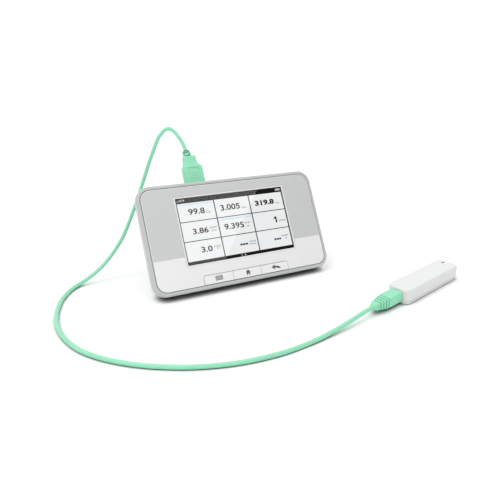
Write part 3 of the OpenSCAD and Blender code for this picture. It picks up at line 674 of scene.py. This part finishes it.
def make_neck():
    """The ribbed neck: rings joined by bridges that change sides from gap to gap."""
    # The core's dark colour is painted shade: it shows in the gaps between the rings and as a dark
    # ring where the cord leaves.
    core = bmesh.new()
    lathe(core, [(-0.4, 2.5), (NECK_L - 0.6, 2.4), (NECK_L - 0.55, 2.9), (NECK_L - 0.2, 2.9),
                 (NECK_L - 0.02, 2.7), (NECK_L, 1.7)])
    core = to_object(core, "reader_plug_neck_core", NECK)
    finish_piece(core, "cable", "painted_gap_shade", ["usb_plug_neck"])

    rings, ring_h, pitch, round_r = 3, 0.6, 1.4, 0.15
    first_z, first_r, shrink = 0.75, 3.35, 0.07
    bridge_turns, bridge_spread, bridge_steps = (-20, 70), math.radians(34), 8
    sleeve = bmesh.new()
    for i in range(rings):
        z = first_z + pitch * i
        r = first_r - shrink * i
        lathe(sleeve, [(z, r - round_r), (z + round_r, r), (z + ring_h - round_r, r),
                       (z + ring_h, r - round_r)])
        for side in (0, 180):
            mid = math.radians(side + bridge_turns[i % 2])
            arc = [mid - bridge_spread + 2 * bridge_spread * k / bridge_steps
                   for k in range(bridge_steps + 1)]
            inner, outer = r - 0.9, r - 0.1
            outline = [(outer * math.cos(a), outer * math.sin(a)) for a in arc]
            outline += [(inner * math.cos(a), inner * math.sin(a)) for a in reversed(arc)]
            made = skin(sleeve, [at_height(outline, z - pitch + ring_h - 0.05),
                                 at_height(outline, z + 0.05)])
            fill(sleeve, made[0])
            fill(sleeve, made[1])
    sleeve = to_object(sleeve, "reader_plug_neck_rings", NECK)
    finish_piece(sleeve, "cable", "grip")


make_reader_plug()
make_neck()


# ---------------------------------------------------------------- front of the reader

def make_frame():
    outer = rounded(READER_W, READER_H, CORNER_R, 0, MID_Z, steps=14)
    profile = [(0.3, FRAME_D), (0, FRAME_D - 0.3)]
    profile += [(k, away) for k, away in fillet(1.5, 6)]
    profile += [(RIM_W - k, away) for k, away in reversed(fillet(0.35, 3))]
    profile += [(RIM_W, PANEL_T), (RIM_W + GROOVE_W + 1.6, PANEL_T),
                (RIM_W + GROOVE_W + 1.6, FRAME_D)]
    bm = bmesh.new()
    skin(bm, [at_depth(inset(outer, k), y) for k, y in profile], wrap=True)
    frame_ring = to_object(bm, "front_bezel", READER)
    finish_piece(frame_ring, "reader", "frame", ["front_frame"])


def arc_points(cx, cz, r, start, end, steps=ARC_STEPS):
    return [(cx + r * math.cos(math.radians(start + (end - start) * i / steps)),
             cz + r * math.sin(math.radians(start + (end - start) * i / steps)))
            for i in range(steps + 1)]


def panel_outline():
    """The panel's outline, with the keys' notch in its bottom edge."""
    points = rounded(PANEL_W, PANEL_H, PANEL_R, 0, MID_Z)
    half = NOTCH_W / 2
    notch = [(-half, PANEL_Z)]
    notch += arc_points(KEY_CORNER - half, NOTCH_TOP - KEY_CORNER, KEY_CORNER, 180, 90)
    notch += arc_points(half - KEY_CORNER, NOTCH_TOP - KEY_CORNER, KEY_CORNER, 90, 0)
    notch += [(half, PANEL_Z)]
    after = 3 * (ARC_STEPS + 1)
    return points[:after] + notch + points[after:]


WINDOW_W, WINDOW_H = SCREEN_W + 2 * TRIM_W, SCREEN_H + 2 * TRIM_W
SCREEN_MID = SCREEN_Z + SCREEN_H / 2
WINDOW = box_outline(-WINDOW_W / 2, SCREEN_MID - WINDOW_H / 2, WINDOW_W / 2,
                     SCREEN_MID + WINDOW_H / 2)


def overlay_outline(margin):
    """The printed film's outline: a wide arch over the screen, shrunk by margin."""
    w, h = PANEL_W - 2 * (0.6 + margin), PANEL_H - 2 * (0.6 + margin)
    points = rounded(w, h, PANEL_R - 0.6, 0, MID_Z)[:2 * (ARC_STEPS + 1)]
    inner = WINDOW_W / 2 + margin
    low = OVERLAY_Z + margin
    top = SCREEN_MID + WINDOW_H / 2 + margin
    return points + [(-w / 2, low), (-inner, low), (-inner, top), (inner, top), (inner, low),
                     (w / 2, low)]


def make_panel():
    panel = plate("front_cover", panel_outline(), [WINDOW], 0, PANEL_T, 0.3, READER)
    bed = prism("film_bed", overlay_outline(-0.02), -1, 0.3, READER)
    cut(panel, bed)
    for name, x, z, r, end in (
            [("case_post", x * CASE_X, z, 3, 8) for x in (-1, 1) for z in CASE_Z]
            + [("bracket_post", x * POST_X, z, 2, 5.8) for x in (-1, 1)
               for z in (SCREEN_Z + POST_IN, SCREEN_TOP - POST_IN)]):
        cut(panel, rod(name, r, PANEL_T - 0.4, end, READER, at=(x, 0, z), sides=24), "UNION")
    finish_piece(panel, "reader", "panel", ["front_panel"])

    film = plate("grey_film", overlay_outline(0.03), [], 0, 0.3, 0.06, READER)
    finish_piece(film, "reader", "overlay", ["grey_overlay"])

    glass_hole = box_outline(-SCREEN_W / 2, SCREEN_Z, SCREEN_W / 2, SCREEN_TOP)
    trim = plate("screen_trim", inset(WINDOW, 0.03), [glass_hole], 0, PANEL_T, 0.2, READER)
    finish_piece(trim, "reader", "panel", ["window_trim"])


def key_outline(side):
    r = KEY_CORNER - KEY_GAP
    radii = [r if side > 0 else 0.3, r if side < 0 else 0.3, 0.3, 0.3]
    return rounded(KEY_W, KEY_H, radii, side * KEY_PITCH, KEY_MID_Z)


def flat_pieces(name, outlines, front, back):
    """Thin printed marks: one plate for each outline, all in one piece."""
    bm = bmesh.new()
    for outline in outlines:
        made = skin(bm, [at_depth(outline, back), at_depth(outline, front)])
        fill(bm, made[0])
        fill(bm, made[1])
    return to_object(bm, name, READER)


def icon(key):
    """Outlines of the mark on a key, about the key's middle."""
    if key == "menu":
        return [rounded(6.4, 0.62, 0.2, 0, z, 3) for z in (-1.44, -0.48, 0.48, 1.44)]
    if key == "home":
        return [[(-2.2, 0.2), (0, 2.3), (2.2, 0.2), (1.55, 0.2), (1.55, -2.1),
                 (0.4, -2.1), (0.4, -0.9), (-0.4, -0.9), (-0.4, -2.1), (-1.55, -2.1),
                 (-1.55, 0.2)][::-1]]
    tail = arc_points(0.2, -1.55, 2.4, 90, 4, 6)
    inner = arc_points(0.2, -1.55, 0.95, 4, 90, 6)
    tail = [(1.75 * (x - 0.2) + 0.2, z) for x, z in tail]
    inner = [(1.6 * (x - 0.2) + 0.2, z) for x, z in inner]
    return [[(-3.9, 0.2), (-0.7, 2.3), (-0.7, 0.85)] + tail + inner[:-1]
            + [(-0.7, -0.65), (-0.7, -1.9)]]


def make_keys():
    for side, key in ((-1, "menu"), (0, "home"), (1, "back")):
        cap = plate(key + "_key_cap", key_outline(side), [], 0, KEY_T, 0.25, READER)
        cut(cap, rod("post", 1.4, KEY_T - 0.3, 4.1, READER,
                     at=(side * KEY_PITCH, 0, KEY_MID_Z), sides=24), "UNION")
        body = key + "_button"
        finish_piece(cap, body, "key", [key + "_key"])
        marks = [[(x + side * (KEY_PITCH + 0.4) + 0.5, z + KEY_MID_Z + 0.25) for x, z in outline]
                 for outline in icon(key)]
        mark = flat_pieces(key + "_key_mark", marks, -0.012, 0.06)
        finish_piece(mark, body, "ink", weighted=False)


make_frame()
make_panel()
make_keys()


# ---------------------------------------------------------------- display

COLUMN_LINES = (-15.6, 15.5)
ROW_LINES = (54.75, 38.95)
STATUS_Z, FOOT_Z = 69.9, 23.2
LINE_X, LINE_Z = 0.85, 0.64
LCD_W, LCD_BOTTOM, LCD_TOP = SCREEN_W - 0.2, SCREEN_Z + 0.1, SCREEN_TOP - 0.1
LAYER = 0.02
GRID_Y = 1.43

NUMBERS = [("99.8", -38.9, 60.1, -24.3, 65.0, 0), ("3.005", -11.5, 60.1, 6.6, 65.0, 0),
           ("319.8", 19.8, 60.2, 38.5, 64.8, 1), ("3.86", -38.5, 44.3, -24.5, 49.0, 0),
           ("9.395", -11.4, 44.1, 6.7, 49.0, 0),
           ("3.0", -34.6, 29.0, -24.3, 33.7, 0)]
ONE = [(35.8, 44.1), (37.2, 44.1), (37.2, 49.2), (36.0, 49.2), (34.3, 48.1), (34.3, 47.0),
       (35.8, 47.8)]
DASHES = [(-0.6, 29.6, 6.6, 31.0), (30.8, 29.3, 37.4, 30.7)]
UNITS = [(-24.0, 59.9, -19.7, 61.3), (7.7, 59.9, 12.1, 61.3), (39.3, 60.0, 42.9, 61.2),
         (-23.8, 47.0, -17.0, 48.5), (-22.6, 44.7, -18.0, 46.0), (7.6, 46.9, 12.3, 48.3),
         (8.8, 43.9, 11.2, 45.4), (39.0, 44.5, 45.2, 46.0), (-23.4, 31.6, -17.4, 33.0),
         (-21.0, 30.0, -18.6, 31.2), (7.6, 31.0, 13.8, 32.3), (7.6, 28.9, 13.8, 30.2),
         (38.0, 31.3, 45.0, 32.8), (41.0, 28.9, 43.2, 30.2)]
STRIPS = [(-45.6, 68.0, -16.1, 68.9), (-14.9, 52.2, 15.0, 53.1)]


def make_numbers():
    """Draws the readings with Blender's own font, each stretched to its place."""
    parts = []
    for text, x0, z0, x1, z1, bold in NUMBERS:
        x0, x1 = x0 + 0.4, x1 - 0.4
        curve = bpy.data.curves.new("digits", "FONT")
        curve.body = text
        curve.size = 1
        curve.offset = 0.042 if bold else 0.022
        curve.resolution_u = 4
        obj = bpy.data.objects.new("digits", curve)
        bpy.context.scene.collection.objects.link(obj)
        graph = bpy.context.evaluated_depsgraph_get()
        flat = bpy.data.meshes.new_from_object(obj.evaluated_get(graph))
        bpy.data.objects.remove(obj)
        bm = bmesh.new()
        bm.from_mesh(flat)
        bpy.data.meshes.remove(flat)
        xs, ys = [v.co.x for v in bm.verts], [v.co.y for v in bm.verts]
        sx, sz = (x1 - x0) / (max(xs) - min(xs)), (z1 - z0) / (max(ys) - min(ys))
        left, low = min(xs), min(ys)
        for v in bm.verts:
            v.co = (x0 + (v.co.x - left) * sx, GRID_Y + LAYER, z0 + (v.co.y - low) * sz)
        bmesh.ops.remove_doubles(bm, verts=bm.verts, dist=1e-4)
        faces = bmesh.ops.extrude_face_region(bm, geom=bm.faces[:])
        for item in faces["geom"]:
            if isinstance(item, bmesh.types.BMVert):
                item.co.y = GRID_Y
        parts.append(to_object(bm, "digits", READER))
    first = parts[0]
    bm = bmesh.new()
    for part in parts:
        bm.from_mesh(part.data)
    bm.to_mesh(first.data)
    bm.free()
    for part in parts[1:]:
        bpy.data.objects.remove(part)
    first.name = first.data.name = "display_numbers"
    return first


def make_display():
    """The display's picture, in thin layers just behind the glass."""
    full = box_outline(-LCD_W / 2, LCD_BOTTOM, LCD_W / 2, LCD_TOP)
    back = flat_pieces("display_ground", [full], GRID_Y + LAYER + 0.005, 1.49)
    finish_piece(back, "reader", "lit_white", weighted=False)

    lines_x = [-LCD_W / 2 + LINE_X / 2, *COLUMN_LINES, LCD_W / 2 - LINE_X / 2]
    lines_z = [STATUS_Z, *ROW_LINES, FOOT_Z]
    cells = []
    for row in range(3):
        for column in range(3):
            half_top = 0 if row == 0 else LINE_Z / 2
            half_low = 0 if row == 2 else LINE_Z / 2
            cells.append(box_outline(lines_x[column] + LINE_X / 2, lines_z[row + 1] + half_low,
                                     lines_x[column + 1] - LINE_X / 2, lines_z[row] - half_top))
    grid = plate("display_grid", full, cells, GRID_Y, GRID_Y + LAYER, 0, READER)
    finish_piece(grid, "reader", "lit_black", weighted=False)

    strips = flat_pieces("display_strips", [box_outline(*s) for s in STRIPS], GRID_Y,
                         GRID_Y + LAYER)
    finish_piece(strips, "reader", "lit_blue", weighted=False)
    finish_piece(make_numbers(), "reader", "lit_digit", weighted=False)
    dashes = []
    for x0, z0, x1, z1 in DASHES:
        third = (x1 - x0) / 3
        dashes += [box_outline(x0 + third * i, z0, x0 + third * (i + 0.86), z1) for i in range(3)]
    dashes.append(ONE)
    dashes = flat_pieces("display_dashes", dashes, GRID_Y, GRID_Y + LAYER)
    finish_piece(dashes, "reader", "lit_digit", weighted=False)
    blocks = []
    for x0, z0, x1, z1 in UNITS:
        count = max(2, round((x1 - x0) / 1.15))
        step = (x1 - x0) / count
        for i in range(count):
            low = z0 + 0.25 * (i % 2) * (z1 - z0)
            blocks.append(rounded(step * 0.72, z1 - low, 0.2, x0 + step * (i + 0.5),
                                  (low + z1) / 2, 2))
    units = flat_pieces("display_units", blocks, GRID_Y, GRID_Y + LAYER)
    finish_piece(units, "reader", "lit_unit", weighted=False)

    front = GRID_Y - LAYER
    marks = [rounded(4.4, 1.7, 0.3, 43.9, 72.2, 3), rounded(0.5, 0.9, 0.1, 46.6, 72.2, 2)]
    marks += [rounded(size, size, size / 2 - 0.01, x, 21.75, 4)
              for x, size in ((-1.1, 1.0), (2.0, 1.3))]
    marks += [rounded(0.55, 0.5 + 0.35 * i, 0.1, -46.3 + 0.95 * i, 71.7 + 0.175 * i, 2)
              for i in range(5)]
    marks += [rounded(1.3, 1.3, 0.3, -40.6, 72.4, 2)]
    marks = flat_pieces("display_marks", marks, front, GRID_Y + 0.002)
    finish_piece(marks, "reader", "lit_mark", weighted=False)


make_display()


# ---------------------------------------------------------------- back of the reader

SIDE_START, SIDE_SLOPE = 9, 8.5 / 13
TOP_START, TOP_SLOPE = 15, 1
WALL = 2


def eased(y, start, slope, soft):
    """A slope that starts at a depth, with its corner softened."""
    t = y - start
    if t <= -soft:
        return 0
    if t >= soft:
        return slope * t
    return slope * (t + soft) ** 2 / (4 * soft)


def case_ring(y, k, extra=0.0):
    """The housing's outline at a depth, shrunk by k all round the solid."""
    side = k + extra + eased(y + k * 0.33, SIDE_START, SIDE_SLOPE, 1.6)
    top = k + extra + eased(y + k * 0.41, TOP_START, TOP_SLOPE, 1.6)
    low = k + extra + eased(y + k * 0.26, FOOT_START, math.tan(math.radians(LEAN)), 0.8)
    r = max(CORNER_R - k - extra - 0.38 * max(0, y - SIDE_START), 1.0)
    w, z0, z1 = READER_W - 2 * side, low, READER_H - top
    return at_depth(rounded(w, z1 - z0, r, 0, (z0 + z1) / 2, steps=10), y)


def case_form(name, k, start, back_r, lip=0.0):
    back = READER_T - k
    depths = [start + (back - back_r - start) * i / 16 for i in range(17)]
    rings = [case_ring(start, k, lip)] if lip else []
    rings += [case_ring(y + (lip if lip and y == start else 0), k) for y in depths]
    rings += [case_ring(back - away, k, side) for side, away in fillet(back_r, 5)[1:]]
    return loft(name, rings, READER)


def make_housing():
    """The rear shell with its pocket for the stand, finger notch and screw wells."""
    shell = case_form("rear_shell", 0, FRAME_D, 1.3, lip=0.3)
    cut(shell, case_form("hollow", WALL, FRAME_D - 1, 1.0))
    walls = case_form("walls", WALL / 2, FRAME_D + 1, 1.0)
    half, low = POCKET_W / 2 + WALL, -2
    cut(walls, prism("block", box_outline(-half, low, half, POCKET_TOP + WALL),
                     POCKET_Y - WALL, READER_T + 1, READER), "INTERSECT")
    cut(shell, walls, "UNION")
    boss_r, boss_start, well_r, well_depth = 3.4, 8, 2.7, 2.5
    for x in (-1, 1):
        for z in CASE_Z:
            boss = rod("boss", boss_r, boss_start, READER_T - 1, READER,
                       at=(x * CASE_X, 0, z), sides=28)
            cut(shell, boss, "UNION")
    pocket = rounded(POCKET_W, POCKET_TOP - POCKET_BOTTOM, 1.2, 0,
                     (POCKET_TOP + POCKET_BOTTOM) / 2)
    cut(shell, prism("pocket", pocket, READER_T + 1.5, POCKET_Y, READER))
    notch = rounded(18, POCKET_BOTTOM + 4, 0.8, 0, POCKET_BOTTOM / 2)
    cut(shell, prism("notch", notch, READER_T + 1.5, POCKET_Y + 1.2, READER))
    for x in (-1, 1):
        pin = rod("pin_hole", 1, -4.5, 4.5, READER, "X", at=(x * 27, HINGE_Y, HINGE_Z))
        cut(shell, pin)
        for z in CASE_Z:
            cut(shell, rod("well", well_r, READER_T - well_depth, READER_T + 1, READER,
                           at=(x * CASE_X, 0, z)))
    for name, cx, cy, w, t in (("usb", SOCKET_X, SOCKET_Y, SOCKET_W, SOCKET_T),
                               ("charge", CHARGE_X, CHARGE_Y, CHARGE_W, CHARGE_H)):
        slot = rounded(w, t, 0.5, cx, cy)
        cut(shell, prism(name, slot, READER_H - 4, READER_H + 1, READER, turn=at_height))
    finish_piece(shell, "reader", "housing", ["rear_housing"])


def make_stand():
    """The fold-out leg: a rounded plate with a sunk field of ribs and a hinge barrel."""
    half_t = LEG_T / 2
    top, low = HEEL, 1 - LEG_L
    outline = rounded(LEG_W, top - low, [0.8, 0.8, 1.5, 1.5], 0, (top + low) / 2)
    bm = bmesh.new()
    rings = [at_depth(inset(outline, k), -half_t + away) for k, away in reversed(fillet(0.45))]
    rings += [at_depth(inset(outline, k), half_t - away) for k, away in fillet(0.45)]
    made = skin(bm, rings)
    fill(bm, made[0])
    fill(bm, made[-1])
    leg = to_object(bm, "stand_plate", STAND)
    cut(leg, rod("barrel", BARREL_R, -LEG_W / 2 + 0.1, LEG_W / 2 - 0.1, STAND, "X"), "UNION")
    cut(leg, rod("pin", 1.05, -LEG_W, LEG_W, STAND, "X"))
    field_w, field_top, field_low = LEG_W - 16, -8, 6 - LEG_L
    field = rounded(field_w, field_top - field_low, 2.5, 0, (field_top + field_low) / 2)
    cut(leg, prism("field", field, half_t + 1, half_t - 0.8, STAND, edge=0.2))
    finish_piece(leg, "stand", "housing", ["stand_leg"])
    for i in range(5):
        z = field_low + (field_top - field_low) * (i + 1) / 6
        rib = prism("stand_rib_%d" % (i + 1), rounded(field_w - 6, 1.2, 0.55, 0, z),
                    half_t - 1, half_t - 0.25, STAND, edge=0.25)
        finish_piece(rib, "stand", "housing")


make_housing()
make_stand()


# ---------------------------------------------------------------- probe

def make_probe():
    """The probe's two shells, with a fine seam between them."""
    def ring(k, z):
        return at_height(rounded(PROBE_L - 2 * k, PROBE_W - 2 * k, PROBE_R - k, PROBE_L / 2,
                                 0, steps=12), z)

    rings = [ring(SEAM_BEVEL, SEAM_Z), ring(0, SEAM_Z + SEAM_BEVEL)]
    rings += [ring(k, PROBE_H - away) for k, away in fillet(1.4, 6)]
    upper = loft("probe_cover", rings, PROBE)
    inner = [ring(PROBE_WALL, SEAM_Z - 1), ring(PROBE_WALL, PROBE_H - PROBE_WALL - 0.4),
             ring(PROBE_WALL + 0.5, PROBE_H - PROBE_WALL)]
    cut(upper, loft("hollow", inner, PROBE))
    slot = rounded(SLOT_L, SLOT_W, SLOT_W / 2 - 0.01, PROBE_L - SLOT_FROM_END, SLOT_Y)
    cut(upper, prism("slot", slot, PROBE_H - 3, PROBE_H + 1, PROBE, turn=at_height))
    mouth = rounded(7.9, 4.1, 0.6, 0, PROBE_H / 2)
    cut(upper, loft("mouth", [along_probe(mouth, -1), along_probe(mouth, 2.4)], PROBE))
    cut(upper, rod("eye", EYE_R, PROBE_L - PROBE_WALL - 1, PROBE_L + 1, PROBE, "X",
                   at=(0, 0, PROBE_H / 2)))
    finish_piece(upper, "probe", "probe", ["probe_upper_shell"])

    base = [ring(k, away) for k, away in reversed(fillet(1.1, 5))]
    edge, tongue, tongue_top = SEAM_Z - SEAM_GAP, PROBE_WALL + SEAM_GAP, SEAM_Z + 0.8
    base += [ring(0, edge - SEAM_BEVEL), ring(SEAM_BEVEL, edge), ring(tongue, edge),
             ring(tongue, tongue_top), ring(2 * PROBE_WALL, tongue_top),
             ring(2 * PROBE_WALL, PROBE_WALL)]
    lower = loft("probe_base", base, PROBE)
    cut(lower, rod("eye", EYE_R, PROBE_L - 4 * PROBE_WALL, PROBE_L + 2.4, PROBE, "X",
                   at=(0, 0, PROBE_H / 2)))
    finish_piece(lower, "probe", "probe", ["probe_lower_shell"])


make_probe()


# ---------------------------------------------------------------- floor and light

SKY_LOW, SKY_HIGH = 0.62, 1.19
SKY_RISES, SKY_FULL = 0.25, 0.6
# FLOOR_SHADED is the colour of the floor's painted contact shadow.
FLOOR_WHITE, FLOOR_SHADED = (0.92, 0.92, 0.92, 1), (0.16, 0.16, 0.16, 1)
PAINTED_SHADOW_REACH = 0.0065
BACKDROP_R, BACKDROP_WHITE = 2.6, 1.05
SUN_POWER, SUN_SPREAD, SUN_HEADING = 0.6, math.radians(35), (0.55, -0.1, -1.0)
CARD_FAR, CARD_DARK, CARD_BRIGHT = 0.5, 0.1, 1.15
GLARE_TOP, GLARE_FOOT = (25.0, 74.0), (-15.4, 21.3)


def make_world():
    """A soft white room: brighter overhead than at the horizon."""
    world = bpy.data.worlds.new("world")
    world.use_nodes = True
    tree = world.node_tree
    place = tree.nodes.new("ShaderNodeTexCoord")
    split = tree.nodes.new("ShaderNodeSeparateXYZ")
    ramp = tree.nodes.new("ShaderNodeMapRange")
    ramp.interpolation_type = "SMOOTHSTEP"
    for key, value in (("From Min", SKY_RISES), ("From Max", SKY_FULL), ("To Min", SKY_LOW),
                       ("To Max", SKY_HIGH)):
        ramp.inputs[key].default_value = value
    back = tree.nodes["Background"]
    back.inputs["Color"].default_value = (1, 1, 1, 1)
    tree.links.new(place.outputs["Generated"], split.inputs["Vector"])
    tree.links.new(split.outputs["Z"], ramp.inputs["Value"])
    tree.links.new(ramp.outputs["Result"], back.inputs["Strength"])
    bpy.context.scene.world = world


def stage_object(name, bm, mat, rays):
    """A stage piece that only the named kinds of rays see."""
    mesh = bpy.data.meshes.new(name)
    bm.to_mesh(mesh)
    bm.free()
    mesh.materials.append(mat)
    obj = bpy.data.objects.new(name, mesh)
    bpy.context.scene.collection.objects.link(obj)
    for ray in ("camera", "diffuse", "glossy", "transmission", "volume_scatter", "shadow"):
        setattr(obj, "visible_" + ray, ray in rays)


def lit_card(name, brightness):
    """A plain lit surface for the stage."""
    mat = bpy.data.materials.new(name)
    mat.use_nodes = True
    shader = mat.node_tree.nodes["Principled BSDF"]
    shader.inputs["Base Color"].default_value = (0, 0, 0, 1)
    shader.inputs["Specular IOR Level"].default_value = 0
    shader.inputs["Emission Color"].default_value = (1, 1, 1, 1)
    shader.inputs["Emission Strength"].default_value = brightness
    return mat


def reflected(x, z, distance):
    """Where the camera's ray, turned back by the glass at that point, ends up."""
    at = (READER @ Vector((x, 0.25, z))) * MM
    normal = (READER.to_3x3() @ Vector((0, -1, 0))).normalized()
    ray = (at - Vector(CAMERA_AT)).normalized()
    return at + (ray - 2 * ray.dot(normal) * normal) * distance


def make_reflections():
    """A bright card and a dark card whose shared edge the screen reflects aslant."""
    top, foot = reflected(*GLARE_TOP, CARD_FAR), reflected(*GLARE_FOOT, CARD_FAR)
    line = (top - foot).normalized()
    beside = reflected(GLARE_TOP[0] + 20, GLARE_TOP[1], CARD_FAR) - top
    beside = (beside - beside.dot(line) * line).normalized()
    for name, side, brightness in (("dark_card", 1, CARD_DARK), ("bright_card", -1, CARD_BRIGHT)):
        bm = bmesh.new()
        ends = [foot - line * 0.3, top + line * 0.5]
        corners = ends + [end + beside * side * 0.6 for end in reversed(ends)]
        bm.faces.new([bm.verts.new(c) for c in corners])
        stage_object(name, bm, lit_card(name, brightness), ("glossy", "transmission"))


def make_stage():
    """A white floor with a painted contact shadow, darker where things touch it, a backdrop and a
    soft sun.
    """
    bm = bmesh.new()
    bmesh.ops.create_grid(bm, x_segments=4, y_segments=4, size=3)
    paper = Recipe("floor_paper", FLOOR_WHITE, 0.9)
    # Painted shadow: an ambient occlusion node darkens the floor's colour near things.
    near = paper.add("ShaderNodeAmbientOcclusion", samples=12)
    near.inputs["Distance"].default_value = PAINTED_SHADOW_REACH
    ramp = paper.add("ShaderNodeMapRange")
    for key, value in (("From Min", 0.16), ("From Max", 0.76), ("To Min", 0.0), ("To Max", 1.0)):
        ramp.inputs[key].default_value = value
    paper.link(near.outputs["AO"], ramp.inputs["Value"])
    paper.link(paper.mix(ramp.outputs["Result"], FLOOR_SHADED, FLOOR_WHITE),
               paper.shader.inputs["Base Color"])
    paper.set(Specular_IOR_Level=0.0)
    stage_object("floor", bm, paper.mat, ("camera", "diffuse", "glossy", "transmission", "shadow"))

    bm = bmesh.new()
    bmesh.ops.create_icosphere(bm, subdivisions=4, radius=BACKDROP_R)
    stage_object("backdrop", bm, lit_card("backdrop_white", BACKDROP_WHITE), ("camera",))

    make_world()
    make_reflections()
    bpy.context.scene.view_settings.view_transform = "Standard"

    lamp = bpy.data.lights.new("key_light", "SUN")
    lamp.energy = SUN_POWER
    lamp.angle = SUN_SPREAD
    light = bpy.data.objects.new("key_light", lamp)
    light.rotation_mode = "QUATERNION"
    light.rotation_quaternion = Vector(SUN_HEADING).to_track_quat("-Z", "Y")
    bpy.context.scene.collection.objects.link(light)


make_stage()
